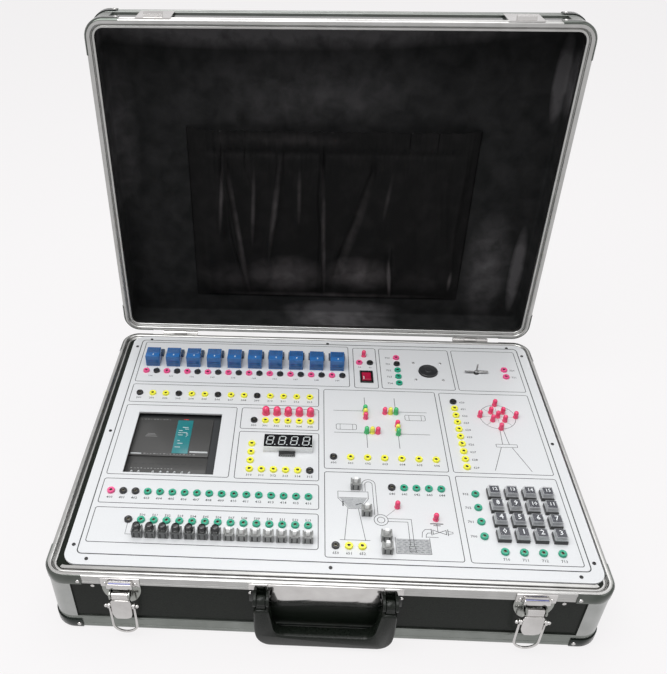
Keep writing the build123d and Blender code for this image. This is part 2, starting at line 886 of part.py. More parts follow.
# Push-button caps and plungers of the switch row, then the four level switches
for i, (x, y) in enumerate(push_places):
    if i < switch_cap_count:
        plunger(f"push_button_{i + 1}", x, y, True)
    else:
        plunger(f"plunger_{i + 1 - switch_cap_count}", x, y, False)
for i, (x, y) in enumerate(level_switches):
    plunger(f"level_plunger_{i + 1}", x, y, False)

# Keys: tapered square caps on stems that slide in the key housings
for i, (x, y) in enumerate(key_places):
    with BuildPart() as key:
        with BuildSketch(Plane.XY.offset(panel_top + key_housing_height + key_lift)):
            with Locations((x, y)):
                Rectangle(key_side, key_side)
        extrude(amount=key_height, taper=key_taper)
        with BuildSketch(Plane.XY.offset(panel_top + key_travel + plunger_gap)):
            with Locations((x, y)):
                Rectangle(plunger_side, plunger_side)
        extrude(amount=key_housing_height + key_lift - key_travel - plunger_gap)
    save(key, f"key_{i}")

# Motors: a square stepper and a round motor, hung under the panel with their bosses in its holes
with BuildPart() as motors:
    with BuildSketch(under_deck):
        with Locations((stepper_x, stepper_y)):
            Rectangle(stepper_side, stepper_side)
        chamfer(vertices(), stepper_chamfer)
    extrude(amount=-stepper_length)
    with BuildSketch(under_deck):
        with Locations((stepper_x, stepper_y)):
            RegularPolygon(stepper_boss_radius, 2 * turned_flats)
    extrude(amount=stepper_boss_height)
    with BuildSketch(under_deck):
        with Locations((fan_x, fan_y)):
            RegularPolygon(fan_can_radius, turned_flats)
    extrude(amount=-fan_can_length)
    with BuildSketch(under_deck):
        with Locations((fan_x, fan_y)):
            RegularPolygon(fan_boss_radius, turned_flats)
    extrude(amount=fan_boss_height)
    with BuildSketch(Plane.XY.offset(panel_bottom + stepper_boss_height)):
        with Locations((stepper_x, stepper_y)):
            RegularPolygon(stepper_shaft_radius + running_gap, turned_flats, major_radius=False)
    extrude(amount=-stepper_shaft_depth, mode=Mode.SUBTRACT)
    with BuildSketch(Plane.XY.offset(panel_bottom + fan_boss_height)):
        with Locations((fan_x, fan_y)):
            RegularPolygon(fan_shaft_radius + running_gap, cheek_flats, major_radius=False)
    extrude(amount=-fan_shaft_depth, mode=Mode.SUBTRACT)
save(motors, "motors")

# Stepper dial: a dark disc on the motor's shaft
with BuildPart() as stepper_dial:
    with BuildSketch(Plane.XY.offset(panel_top + dial_lift)):
        with Locations((stepper_x, stepper_y)):
            RegularPolygon(dial_radius, 2 * turned_flats)
    extrude(amount=dial_thickness)
    with BuildSketch(Plane.XY.offset(panel_top + dial_lift)):
        with Locations((stepper_x, stepper_y)):
            Circle(stepper_shaft_radius)
    extrude(amount=running_gap * 4 - stepper_shaft_depth)
save(stepper_dial, "stepper_dial")

# Propeller: hub, two pitched blades, and a shaft that runs on above them as a pin
fan_hub_z = panel_bottom + fan_boss_height + hole_clearance * 2
with BuildPart() as propeller:
    with BuildSketch(Plane.XY.offset(fan_hub_z)):
        with Locations((fan_x, fan_y)):
            RegularPolygon(fan_hub_radius, turned_flats)
    extrude(amount=fan_hub_height)
    for side in (-1, 1):
        pitch = math.radians(side * fan_blade_pitch)
        root = Plane(
            origin=(fan_x, fan_y, fan_hub_z + fan_hub_height / 2),
            x_dir=(0, math.cos(pitch), math.sin(pitch)),
            z_dir=(side, 0, 0),
        )
        for reach, half_chord in (
            (0, fan_blade_width / 3),
            (fan_span * fan_blade_belly, fan_blade_width / 2),
            (fan_span, fan_blade_width / 3),
        ):
            with BuildSketch(root.offset(reach)):
                Rectangle(2 * half_chord, fan_blade_thickness)
                chamfer(vertices(), fan_blade_thickness / 3)
        loft(ruled=True)
    with BuildSketch(Plane.XY.offset(fan_hub_z - fan_shaft_depth + hole_clearance * 2 + running_gap)):
        with Locations((fan_x, fan_y)):
            Circle(fan_shaft_radius)
    extrude(amount=fan_shaft_depth + fan_hub_height + fan_pin_height)
save(propeller, "propeller")

# Display: the four-digit block and, in front of it, its driver chip
with BuildPart() as display:
    with BuildSketch(deck):
        with Locations((display_x, display_y)):
            Rectangle(display_width, display_depth)
    extrude(amount=display_height)
    chamfer(faces().sort_by(Axis.Z)[-1].edges(), display_chamfer)
    with BuildSketch(deck):
        with Locations((chip_x, chip_y)):
            Rectangle(chip_width, chip_depth)
    extrude(amount=chip_height)
save(display, "display")

# Controller: stepped housing on a rail, with slotted terminal covers front and back
plc_top = panel_top - plc_top_drop
plc_middle_x = (plc_left + plc_right) / 2
floor_top = skin + board
with BuildPart() as plc_unit:
    rail_z = floor_top + plc_rail_height
    rail_y = (plc_front + plc_back) / 2
    box_between(
        plc_left, plc_right, rail_y - plc_rail_width / 2, rail_y + plc_rail_width / 2, floor_top, rail_z
    )
    with BuildSketch(Plane.YZ.offset(plc_left)):
        with BuildLine():
            Polyline(
                (plc_front, rail_z),
                (plc_front, plc_top - plc_step),
                (plc_front + plc_strip_front, plc_top - plc_step),
                (plc_front + plc_strip_front, plc_top),
                (plc_back - plc_strip_back, plc_top),
                (plc_back - plc_strip_back, plc_top - plc_step),
                (plc_back, plc_top - plc_step),
                (plc_back, rail_z),
                close=True,
            )
        make_face()
    extrude(amount=plc_right - plc_left)
    with BuildSketch(Plane.XY.offset(plc_top - plc_step)):
        with Locations((plc_middle_x, plc_front + plc_strip_front / 4)):
            with GridLocations((plc_right - plc_left) / plc_slot_count, 0, plc_slot_count, 1):
                Rectangle(plc_slot_width, plc_strip_front / 4)
    extrude(amount=-plc_slot_depth, mode=Mode.SUBTRACT)
save(plc_unit, "plc_unit")

# Mains inlet: a flanged appliance inlet in the back wall, with its three pins
with BuildPart() as mains_inlet:
    board_back = back_y - skin
    with BuildSketch(Plane.XZ.offset(-board_back)):
        with Locations((inlet_x, inlet_z)):
            RectangleRounded(inlet_flange_width, inlet_flange_height, inlet_corner)
    extrude(amount=-inlet_flange)
    with BuildSketch(Plane.XZ.offset(-board_back)):
        with Locations((inlet_x, inlet_z)):
            Rectangle(inlet_body_width, inlet_body_height)
    extrude(amount=inlet_depth + inlet_back_wall)
    with BuildSketch(Plane.XZ.offset(-board_back - inlet_flange)):
        with Locations((inlet_x, inlet_z)):
            Rectangle(inlet_mouth_width, inlet_mouth_height)
    extrude(amount=inlet_depth + inlet_flange, mode=Mode.SUBTRACT)
    with BuildSketch(Plane.XZ.offset(inlet_depth - board_back)):
        with Locations(
            (inlet_x - inlet_pin_pitch, inlet_z - inlet_pin_offset),
            (inlet_x, inlet_z + inlet_pin_offset),
            (inlet_x + inlet_pin_pitch, inlet_z - inlet_pin_offset),
        ):
            Rectangle(inlet_pin_width, inlet_pin_height)
    extrude(amount=-inlet_pin_length)
save(mains_inlet, "mains_inlet")


def latch_lever(x):
    """A latch's lever, with its barrel on the back plate's pin and the ball-ended pin of the bail."""
    pivot_y = front_y - latch_pivot_out
    pin_y = front_y - bail_pin_out
    back = pin_y + latch_pin_radius + lever_gap
    front = back - lever_thickness
    narrow = latch_cheek_inner - lever_gap
    with BuildPart() as lever:
        with BuildSketch(Plane.YZ.offset(x - narrow)):
            with Locations((pivot_y, latch_pivot_z)):
                RegularPolygon(lever_barrel_radius, cheek_flats)
            with BuildLine():
                Polyline(
                    (back, lever_step_z),
                    (back, latch_pivot_z),
                    (front, latch_pivot_z),
                    (front, lever_step_z),
                    close=True,
                )
            make_face()
        extrude(amount=2 * narrow)
        with BuildSketch(Plane.YZ.offset(x - lever_half_width)):
            with BuildLine():
                Polyline(
                    (back, lever_step_z),
                    (front - lever_thickness / 2, lever_step_z),
                    (front - lever_thickness / 2, bail_pin_z - bail_eye_radius),
                    (front - lever_thickness, lever_tip_z),
                    (front, lever_tip_z),
                    (back, bail_pin_z - bail_eye_radius),
                    close=True,
                )
            make_face()
        extrude(amount=2 * lever_half_width)
        head = bail_half_width + lever_gap
        for side in (-1, 1):
            tip_x = sorted((x + side * lever_half_width, x + side * head))
            rod_along_x(tip_x[0], tip_x[1], pin_y, bail_pin_z, latch_pin_radius)
            with BuildSketch(Plane.YZ.offset(x + side * head)):
                with Locations((pin_y, bail_pin_z)):
                    RegularPolygon(bail_head_radius, cheek_flats)
            extrude(amount=side * bail_head_length)
        bore_along_x(x - narrow, x + narrow, pivot_y, latch_pivot_z, latch_pin_radius)
    return lever


def latch_bail(x):
    """A latch's bail: a flat loop that hangs from the lever's ball-ended pin."""
    pin_y = front_y - bail_pin_out
    with BuildPart() as bail:
        with BuildSketch(Plane.XZ.offset(-pin_y - lever_thickness / 2)):
            with Locations((x, bail_pin_z)):
                Rectangle(2 * bail_half_width, 2 * bail_drop)
                chamfer(vertices(), bail_corner)
                Rectangle(2 * (bail_half_width - bail_wire), 2 * (bail_drop - bail_wire), mode=Mode.SUBTRACT)
            with Locations((x, bail_pin_z + bail_drop / 2)):
                Rectangle(2 * bail_half_width, bail_drop, mode=Mode.SUBTRACT)
        extrude(amount=lever_thickness)
        for side in (-1, 1):
            start = x + side * bail_half_width - (side + 1) / 2 * bail_wire
            with BuildSketch(Plane.YZ.offset(start)):
                with Locations((pin_y, bail_pin_z)):
                    RegularPolygon(bail_eye_radius, cheek_flats)
            extrude(amount=bail_wire)
        bore_along_x(x - bail_half_width, x + bail_half_width, pin_y, bail_pin_z, latch_pin_radius)
    return bail


for side, word in ((-1, "left"), (1, "right")):
    save(latch_lever(side * latch_x), f"latch_lever_{word}")
    save(latch_bail(side * latch_x), f"latch_bail_{word}")

# Carrying handle: a moulded bow that hangs in front, on a tongue between each pair of cheeks
handle_top = handle_pivot_z - bracket_radius - 2 * bracket_gap
handle_back = front_y - handle_back_out
grip_top = handle_bottom_z + handle_grip_height
with BuildPart() as handle:
    with BuildSketch(Plane.XZ.offset(-handle_back)):
        with Locations((0, handle_top)):
            RectangleRounded(2 * handle_half_width, 2 * (handle_top - handle_bottom_z), handle_outer_corner)
        with Locations((0, handle_top + handle_half_width)):
            Rectangle(2 * handle_half_width, 2 * handle_half_width, mode=Mode.SUBTRACT)
    extrude(amount=handle_thickness)
    with BuildSketch(Plane.XZ.offset(-handle_back)):
        with BuildLine():
            Polyline(
                (handle_arm_width - handle_half_width, handle_top),
                (-handle_inner_low, grip_top),
                (handle_inner_low, grip_top),
                (handle_half_width - handle_arm_width, handle_top),
                close=True,
            )
        make_face()
        fillet(vertices().group_by(Axis.Y)[0], handle_inner_corner)
    extrude(amount=handle_thickness, mode=Mode.SUBTRACT)
    chamfer(faces().sort_by(Axis.Y)[0].edges(), handle_edge)
    chamfer(faces().sort_by(Axis.Y)[-1].edges(), handle_edge / 2)
    tongue_inner = handle_half_width - handle_arm_width + bracket_cheek + bracket_gap
    tongue_outer = handle_half_width - bracket_cheek
    pivot_y = front_y - handle_pivot_out
    for side in (-1, 1):
        start = side * tongue_inner + (side - 1) / 2 * (tongue_outer - tongue_inner)
        with BuildSketch(Plane.YZ.offset(start)):
            with Locations((pivot_y, handle_pivot_z)):
                RegularPolygon(tongue_radius, cheek_flats)
            with Locations((pivot_y, (handle_pivot_z + handle_top) / 2 - bracket_gap)):
                Rectangle(2 * tongue_radius, handle_pivot_z - handle_top + 2 * bracket_gap)
        extrude(amount=tongue_outer - tongue_inner)
    bore_along_x(-tongue_outer, tongue_outer, pivot_y, handle_pivot_z, handle_pin_radius)
save(handle, "handle")

# Lid frame: the same rim as the base's, with edge extrusions, corner profiles and corner pieces
lid_back = lid_plane.offset(-lid_height)
lid_lip = lid_plane.offset(-closing_gap)
with BuildPart() as lid_frame:
    rim_ring(lid_lip, lid_middle)
    ring(lid_back, lid_middle, 0, skin, lid_edge_leg)
    ring(lid_back, lid_middle, skin, edge_flange - skin, skin)
    corner_strips(
        lid_back.offset(lid_edge_leg), lid_middle, 0, skin, corner_leg,
        lid_height - lid_edge_leg - closing_gap - rim_leg,
    )
    corner_strips(
        lid_lip.offset(-casting_height), lid_middle, -casting_wall, casting_wall, casting_leg,
        casting_height - bead_rise,
    )
    corner_strips(lid_back, lid_middle, -foot_wall, foot_wall, foot_leg, foot_height)
save(lid_frame, "lid_frame")

# Lid boards: a shallow plywood tray
with BuildPart() as lid_boards:
    with BuildSketch(lid_back.offset(skin)):
        with Locations((0, lid_middle)):
            RectangleRounded(case_width - 2 * skin, case_depth - 2 * skin, corner_radius - skin)
    extrude(amount=lid_height - skin - closing_gap - rim_slot)
    with BuildSketch(lid_back.offset(skin + board)):
        with Locations((0, lid_middle)):
            Rectangle(cavity_width, cavity_depth)
    extrude(amount=lid_height, mode=Mode.SUBTRACT)
save(lid_boards, "lid_boards")

# Lid lining: plush over the inside of the tray
with BuildPart() as lid_lining:
    lining_height = lid_height - skin - board - closing_gap - rim_inner_leg - ledge_clearance
    with BuildSketch(lid_back.offset(skin + board)):
        with Locations((0, lid_middle)):
            Rectangle(cavity_width, cavity_depth)
    extrude(amount=lining_height)
    with BuildSketch(lid_back.offset(skin + board + lining)):
        with Locations((0, lid_middle)):
            Rectangle(cavity_width - 2 * skin, cavity_depth - 2 * skin)
    extrude(amount=lid_height, mode=Mode.SUBTRACT)
save(lid_lining, "lid_lining")

# Lid pocket: cloth gathered by an elastic near its top and sewn down at the sides and the bottom
with BuildPart() as lid_pocket:
    bottom_plane = Plane(
        origin=lid_plane.from_local_coords((0, pocket_seam, -lining_face)),
        x_dir=lid_plane.x_dir,
        z_dir=-lid_plane.y_dir,
    )
    ridges = [line * spread_x for line in fold_lines]
    folds = [(pocket_left, fold_edge)]
    for here, after in zip(ridges, ridges[1:] + [None]):
        folds.append((here, fold_ridge))
        folds.append(((here + after) / 2, fold_valley) if after else (pocket_right, fold_edge))
    with BuildSketch(bottom_plane):
        with BuildLine():
            Polyline((pocket_right, 0), (pocket_left, 0), *folds, close=True)
        make_face()
    extrude(amount=pocket_seam - pocket_top)
    side_plane = Plane(
        origin=lid_plane.from_local_coords((pocket_left, 0, -lining_face)),
        x_dir=lid_plane.y_dir,
        z_dir=lid_plane.x_dir,
    )
    with BuildSketch(side_plane):
        with BuildLine():
            Polyline((pocket_top, 0), (pocket_seam, 0), *pocket_outline, close=True)
        make_face()
    extrude(amount=pocket_right - pocket_left, mode=Mode.INTERSECT)
    with BuildSketch(side_plane.offset(pocket_side_seam)):
        with BuildLine():
            Polyline(
                (pocket_toe_v, 0),
                (pocket_toe_v, pocket_toe),
                (pocket_taper_v, pocket_mouth),
                (pocket_top + pocket_side_seam, pocket_mouth),
                (pocket_top + pocket_side_seam, 0),
                close=True,
            )
        make_face()
    extrude(amount=pocket_right - pocket_left - 2 * pocket_side_seam, mode=Mode.SUBTRACT)
save(lid_pocket, "lid_pocket")

# Lid fittings: hinge leaves with their middle knuckles, and the catches that the bails hook
with BuildPart() as lid_fittings:
    for side in (-1, 1):
        x = side * hinge_x
        middle = hinge_middle_share / 2
        leaf_v = hinge_out - hinge_leaf
        leaf_start = hinge_out + hinge_gap
        lid_box(x - hinge_width / 2, x + hinge_width / 2, leaf_v, hinge_out, leaf_start, hinge_drop)
        lid_box(x - middle, x + middle, leaf_v, hinge_out, 0, leaf_start)
        knuckle(x - middle, x + middle)
        bore_along_x(x - middle, x + middle, hinge_y, hinge_z, hinge_pin_radius)
        x = side * latch_x
        wing = catch_wing_width / 2
        lid_box(x - wing, x + wing, lid_far, lid_far + plate_metal, catch_start, catch_start + catch_length)
        tab_plane = Plane(
            origin=lid_plane.from_local_coords((x - catch_tab_width / 2, lid_far + plate_metal, 0)),
            x_dir=lid_plane.y_dir,
            z_dir=lid_plane.x_dir,
        )
        with BuildSketch(tab_plane):
            with BuildLine():
                Polyline(
                    (0, -catch_tab_start),
                    (catch_tab_rise - plate_metal, -catch_tab_start - plate_metal),
                    (catch_tab_rise, -catch_tab_start - catch_tab_length),
                    (0, plate_metal - catch_tab_start - catch_tab_length),
                    close=True,
                )
            make_face()
        extrude(amount=catch_tab_width)
save(lid_fittings, "lid_fittings")
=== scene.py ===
"""Looks of an open training case for programmable logic controllers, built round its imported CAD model."""
import math

import bmesh
import bpy
from mathutils import Matrix, Vector


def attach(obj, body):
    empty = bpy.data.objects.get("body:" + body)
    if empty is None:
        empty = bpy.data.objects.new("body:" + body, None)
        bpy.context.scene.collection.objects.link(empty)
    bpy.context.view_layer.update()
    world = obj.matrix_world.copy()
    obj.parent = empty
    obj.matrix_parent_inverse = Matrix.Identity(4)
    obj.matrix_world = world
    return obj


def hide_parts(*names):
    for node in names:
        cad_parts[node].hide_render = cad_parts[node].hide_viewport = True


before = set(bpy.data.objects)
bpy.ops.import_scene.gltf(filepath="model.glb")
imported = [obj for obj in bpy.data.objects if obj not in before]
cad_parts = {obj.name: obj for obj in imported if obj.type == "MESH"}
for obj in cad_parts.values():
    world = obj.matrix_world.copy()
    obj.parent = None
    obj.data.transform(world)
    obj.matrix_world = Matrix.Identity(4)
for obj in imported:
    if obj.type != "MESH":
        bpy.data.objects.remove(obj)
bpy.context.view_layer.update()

# Camera, floor and light. The case stands on pale paper and is seen from the front and above.
# Four soft lamps and a pale sky light it evenly. A ray that looks at the backdrop, straight, in a
# reflection or through clear plastic, sees one even pale tone.
MM = 0.001
BACKDROP = (0.94, 0.925, 0.93, 1)
eye = Vector((-23.0, -576.1, 618.2)) * MM
look = Vector((-0.04056, 0.79555, -0.60453)).normalized()
right = Vector((0.99883, 0.04815, -0.00364))
right = (right - look * right.dot(look)).normalized()
up = right.cross(look)
camera = bpy.data.objects.new("camera", bpy.data.cameras.new("camera"))
bpy.context.scene.collection.objects.link(camera)
camera.matrix_world = Matrix.Translation(eye) @ Matrix((right, up, -look)).transposed().to_4x4()
camera.data.sensor_width = 36.0
camera.data.lens = 40.51
camera.data.shift_x = 0.0881
camera.data.shift_y = 0.0290
camera.data.clip_start = 0.01
bpy.context.scene.camera = camera
bpy.context.scene.view_settings.view_transform = "Standard"


def feed(tree, made, inputs):
    """Give a node's inputs their values, or links from other nodes' outputs."""
    for socket, value in inputs.items():
        if isinstance(value, bpy.types.NodeSocket):
            tree.links.new(value, made.inputs[socket])
        else:
            made.inputs[socket].default_value = value
    return made


def node(tree, kind, inputs, **settings):
    """Add a shader node with its settings and inputs."""
    made = tree.nodes.new("ShaderNode" + kind)
    for name, value in settings.items():
        setattr(made, name, value)
    return feed(tree, made, inputs)


def ramp(tree, amount, low, dark, high, light):
    """A tone that runs from dark at one amount to light at another."""
    made = node(tree, "ValToRGB", {"Fac": amount})
    for stop, place, colour in zip(made.color_ramp.elements, (low, high), (dark, light)):
        stop.position = place
        stop.color = (*colour, 1)
    return made.outputs["Color"]


def seen_rays(tree):
    """An output that is 1 where the camera, a reflection or a clear piece looks at the backdrop."""
    way = node(tree, "LightPath", {})
    total = way.outputs["Is Camera Ray"]
    for kind in ("Is Glossy Ray", "Is Transmission Ray"):
        added = node(tree, "Math", {0: total, 1: way.outputs[kind]}, operation="ADD", use_clamp=True)
        total = added.outputs[0]
    return total


world = bpy.data.worlds.new("studio")
bpy.context.scene.world = world
world.use_nodes = True
tree = world.node_tree
way_up = node(
    tree, "VectorMath", {0: node(tree, "TexCoord", {}).outputs["Generated"], 1: (-0.12, 0.30, 0.55)},
    operation="DOT_PRODUCT",
)
sky_tone = ramp(tree, way_up.outputs["Value"], 0.0, (0.10, 0.11, 0.11), 0.62, (1.0, 1.0, 1.0))
sky = feed(tree, tree.nodes["Background"], {"Color": sky_tone, "Strength": 0.48})
seen = node(tree, "Background", {"Color": BACKDROP, "Strength": 1.0})
both = node(tree, "MixShader", {0: seen_rays(tree), 1: sky.outputs[0], 2: seen.outputs[0]})
feed(tree, tree.nodes["World Output"], {"Surface": both.outputs[0]})

for name, place, aim, size, power in (
    ("key_light", (-0.55, -0.5, 1.65), (0, 0.05, 0.1), 1.2, 20.0),
    ("top_light", (0.0, 0.1, 1.2), (0, 0.1, 0), 0.8, 4.4),
    ("fill_light", (1.3, -0.5, 1.3), (0, 0, 0.1), 1.2, 3.5),
    ("back_light", (0.3, 0.9, 1.9), (0, 0, 0.1), 1.2, 8.0),
):
    lamp = bpy.data.lights.new(name, "AREA")
    lamp.size = size
    lamp.energy = power
    holder = bpy.data.objects.new(name, lamp)
    bpy.context.scene.collection.objects.link(holder)
    holder.matrix_world = Matrix.Translation(place) @ (
        (Vector(place) - Vector(aim)).to_track_quat("Z", "Y").to_matrix().to_4x4()
    )

bm = bmesh.new()
bmesh.ops.create_grid(bm, x_segments=1, y_segments=1, size=6.0)
floor_mesh = bpy.data.meshes.new("floor")
bm.to_mesh(floor_mesh)
bm.free()
floor = bpy.data.objects.new("floor", floor_mesh)
bpy.context.scene.collection.objects.link(floor)
paper = bpy.data.materials.new("paper_floor")
paper.use_nodes = True
tree = paper.node_tree
matt = feed(tree, tree.nodes["Principled BSDF"], {"Base Color": (0.86, 0.85, 0.855, 1), "Roughness": 0.9})
glow = node(tree, "Emission", {"Color": BACKDROP})
glow_share = node(tree, "Math", {0: seen_rays(tree), 1: 0.9}, operation="MULTIPLY")
both = node(tree, "MixShader", {0: glow_share.outputs[0], 1: matt.outputs[0], 2: glow.outputs[0]})
feed(tree, tree.nodes["Material Output"], {"Surface": both.outputs[0]})
floor.data.materials.append(paper)

# Case boards. Two trays of plywood faced with black laminate that has a fine pebble grain, glossier
# on the lid. Their edges sit in the grooves of the aluminium trim.


def finish(name, dark, light, grain, rough, metal=0.0, bump=0.0, coat=0.0, gleam=0.5):
    """A procedural finish: two tones mixed by noise, with roughness and bump from the same noise."""
    made = bpy.data.materials.new(name)
    made.use_nodes = True
    tree = made.node_tree
    where = node(tree, "TexCoord", {}).outputs["Object"]
    noise = node(tree, "TexNoise", {"Vector": where, "Scale": grain, "Detail": 5.0}).outputs["Fac"]
    gloss = node(tree, "MapRange", {"Value": noise, "To Min": rough[0], "To Max": rough[1]})
    shader = feed(tree, tree.nodes["Principled BSDF"], {
        "Base Color": ramp(tree, noise, 0.32, dark, 0.68, light), "Roughness": gloss.outputs["Result"],
        "Metallic": metal, "Coat Weight": coat, "Specular IOR Level": gleam,
    })
    if bump:
        relief = node(tree, "Bump", {"Height": noise, "Strength": bump, "Distance": 0.0004})
        feed(tree, shader, {"Normal": relief.outputs["Normal"]})
    return made


def dress(name, material):
    """Give a CAD node its finish."""
    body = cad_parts[name]
    body.data.materials.clear()
    body.data.materials.append(material)


BOARD_TONES = (0.003, 0.005, 0.003), (0.009, 0.013, 0.009)
dress("base_boards", finish("black_laminate", *BOARD_TONES, 900, (0.24, 0.36), bump=0.3, gleam=0.12))
dress("lid_boards", finish("lid_laminate", *BOARD_TONES, 900, (0.08, 0.16), bump=0.1, coat=0.25))

# Base trim. Extruded rims, edge strips and corner posts of satin aluminium clasp the boards.
# Pressed steel pieces cover the corners, held by round-headed rivets; the feet are darker.
WIDTH, DEPTH, CORNER = 490.0, 360.0, 18.0
STRAIGHT_X, STRAIGHT_Y = WIDTH / 2 - CORNER, DEPTH / 2 - CORNER
RIM_TOP, FOOT_HEIGHT = 74.8, 14.0
aluminium, dull_aluminium, post_aluminium, chrome, dark_chrome, foot_steel = (
    finish(name, dark, light, grain, rough, metal=1.0)
    for name, dark, light, grain, rough in (
        ("satin_aluminium", (0.40, 0.40, 0.39), (0.46, 0.46, 0.45), 60, (0.26, 0.32)),
        ("dull_aluminium", (0.19, 0.205, 0.19), (0.23, 0.245, 0.23), 60, (0.30, 0.36)),
        ("post_aluminium", (0.32, 0.33, 0.32), (0.39, 0.40, 0.39), 60, (0.26, 0.32)),
        ("bright_steel", (0.50, 0.49, 0.48), (0.60, 0.59, 0.58), 50, (0.10, 0.16)),
        ("dark_bright_steel", (0.08, 0.09, 0.08), (0.12, 0.13, 0.12), 50, (0.08, 0.14)),
        ("dark_foot_steel", (0.020, 0.025, 0.023), (0.034, 0.040, 0.037), 50, (0.20, 0.28)),
    )
)


def piece(name, bm, materials, body, replaces=(), flat_angle=35.0, slot=None):
    """Turn a bmesh in millimetres into a finished object that rides on a body."""
    bmesh.ops.scale(bm, vec=(MM, MM, MM), verts=bm.verts)
    mesh = bpy.data.meshes.new(name)
    bm.to_mesh(mesh)
    bm.free()
    for material in materials:
        mesh.materials.append(material)
    mesh.shade_smooth()
    mesh.set_sharp_from_angle(angle=math.radians(flat_angle))
    made = bpy.data.objects.new(name, mesh)
    bpy.context.scene.collection.objects.link(made)
    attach(made, body)
    if replaces:
        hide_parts(*replaces)
    return made


def verts_in(geom):
    """The vertices in an operator's result."""
    return [item for item in geom if isinstance(item, bmesh.types.BMVert)]


def profile_line(bm, profile, x, level):
    """The edges of a closed section across the front; d runs inwards, and z upwards from a level."""
    points = [bm.verts.new((x, d - DEPTH / 2, level + z)) for d, z in profile]
    return [bm.edges.new((points[i], points[(i + 1) % len(points)])) for i in range(len(points))]


def run_on(bm, edges, along):
    """Extrude a section's edges along a vector and return the far edges."""
    made = bmesh.ops.extrude_edge_only(bm, edges=edges)["geom"]
    bmesh.ops.translate(bm, vec=along, verts=verts_in(made))
    return [item for item in made if isinstance(item, bmesh.types.BMEdge) and item.is_boundary]


def turn_corner(bm, edges, centre, axis=(0, 0, 1), angle=math.pi / 2, steps=9):
    """Spin a section round a corner and return the far edges."""
    made = bmesh.ops.spin(
        bm, geom=edges, cent=centre, axis=axis, dvec=(0, 0, 0), angle=angle, steps=steps,
        use_merge=False, use_duplicate=False,
    )["geom_last"]
    return [item for item in made if isinstance(item, bmesh.types.BMEdge)]


def band(bm, profile, level):
    """A section swept all the way round the case."""
    before = set(bm.verts)
    edges = profile_line(bm, profile, 0, level)
    for along, centre in (
        ((STRAIGHT_X, 0, 0), (STRAIGHT_X, -STRAIGHT_Y, 0)),
        ((0, 2 * STRAIGHT_Y, 0), (STRAIGHT_X, STRAIGHT_Y, 0)),
        ((-2 * STRAIGHT_X, 0, 0), (-STRAIGHT_X, STRAIGHT_Y, 0)),
        ((0, -2 * STRAIGHT_Y, 0), (-STRAIGHT_X, -STRAIGHT_Y, 0)),
    ):
        edges = turn_corner(bm, run_on(bm, edges, along), centre)
    run_on(bm, edges, (STRAIGHT_X, 0, 0))
    bmesh.ops.remove_doubles(bm, verts=[v for v in bm.verts if v not in before], dist=0.01)


def corner_bits(bm, profile, level, leg):
    """The same section round the four corners only, with a leg along each side."""
    for side in (1, -1):
        for end in (1, -1):
            old_verts, old_faces = set(bm.verts), set(bm.faces)
            first = profile_line(bm, profile, WIDTH / 2 - leg, level)
            edges = run_on(bm, first, (leg - CORNER, 0, 0))
            edges = turn_corner(bm, edges, (STRAIGHT_X, -STRAIGHT_Y, 0))
            edges = run_on(bm, edges, (0, leg - CORNER, 0))
            bmesh.ops.contextual_create(bm, geom=first)
            bmesh.ops.contextual_create(bm, geom=edges)
            points = [v for v in bm.verts if v not in old_verts]
            bmesh.ops.scale(bm, vec=(side, end, 1), verts=points)
            faces = [f for f in bm.faces if f not in old_faces]
            bmesh.ops.recalc_face_normals(bm, faces=faces)


def arc(x, y, radius, start=0.0, end=360.0, steps=20):
    """Points of an arc from one angle to another, in degrees."""
    angles = [math.radians(start + (end - start) * i / steps) for i in range(steps + 1)]
    return [(x + radius * math.cos(angle), y + radius * math.sin(angle)) for angle in angles]


def post_section(low, high):
    """A flat strip that stands on the boards' faces from one height to another."""
    return [(0.0, low), (1.5, low), (1.5, high), (0.0, high)]


rim_section = (
    [(0.0, -9.6), (0.0, -7.4), (0.35, -7.1), (0.35, -6.5), (0.0, -6.2), (0.0, -4.6), (0.3, -4.3), (0.3, -3.9)]
    + [(0.0, -3.6)]
    + arc(1.7, -1.7, 1.7, 180, 90, 5)
    + arc(3.5, -1.5, 1.5, 90, 0, 4)
    + [(5.0, -2.8), (5.5, -3.2), (6.0, -2.8)]
    + arc(6.9, -2.9, 0.8, 170, 90, 3)
    + arc(7.9, -3.0, 0.9, 90, 0, 3)
    + [(8.8, -7.5), (7.3, -7.5), (7.3, -6.0), (1.5, -6.0), (1.5, -9.6)]
)
edge_section = (
    [(20.0, 0.0), (3.2, 0.0)]
    + arc(3.0, 3.0, 3.0, -90, -180, 5)
    + [(0.0, 5.6), (0.35, 5.9), (0.35, 6.6), (0.0, 6.9), (0.0, 14.6), (0.3, 14.9), (0.3, 15.4), (0.0, 15.7)]
    + [(0.3, 17.0), (1.5, 17.0), (1.5, 1.5), (20.0, 1.5)]
)
casting_section = [
    (-0.75, -10.3), (-0.9, -9.9), (-0.9, -1.9), (-0.2, -0.7), (0.6, -0.05), (0.9, 0.15), (1.4, 0.0),
    (1.0, -0.35), (0.2, -1.0), (0.0, -1.8), (0.0, -10.3),
]
foot_section = [
    (-1.1, 12.0), (-1.2, 11.6), (-1.2, 3.2), (-0.3, 0.9), (1.6, 0.0), (3.2, 0.0), (0.9, 1.2), (0.0, 3.0),
    (0.0, 12.0),
]
lip_section = [(9.0, -3.3), (9.0, -1.5), (9.3, -1.1), (12.0, -1.1), (12.4, -1.5), (12.4, -3.3)]


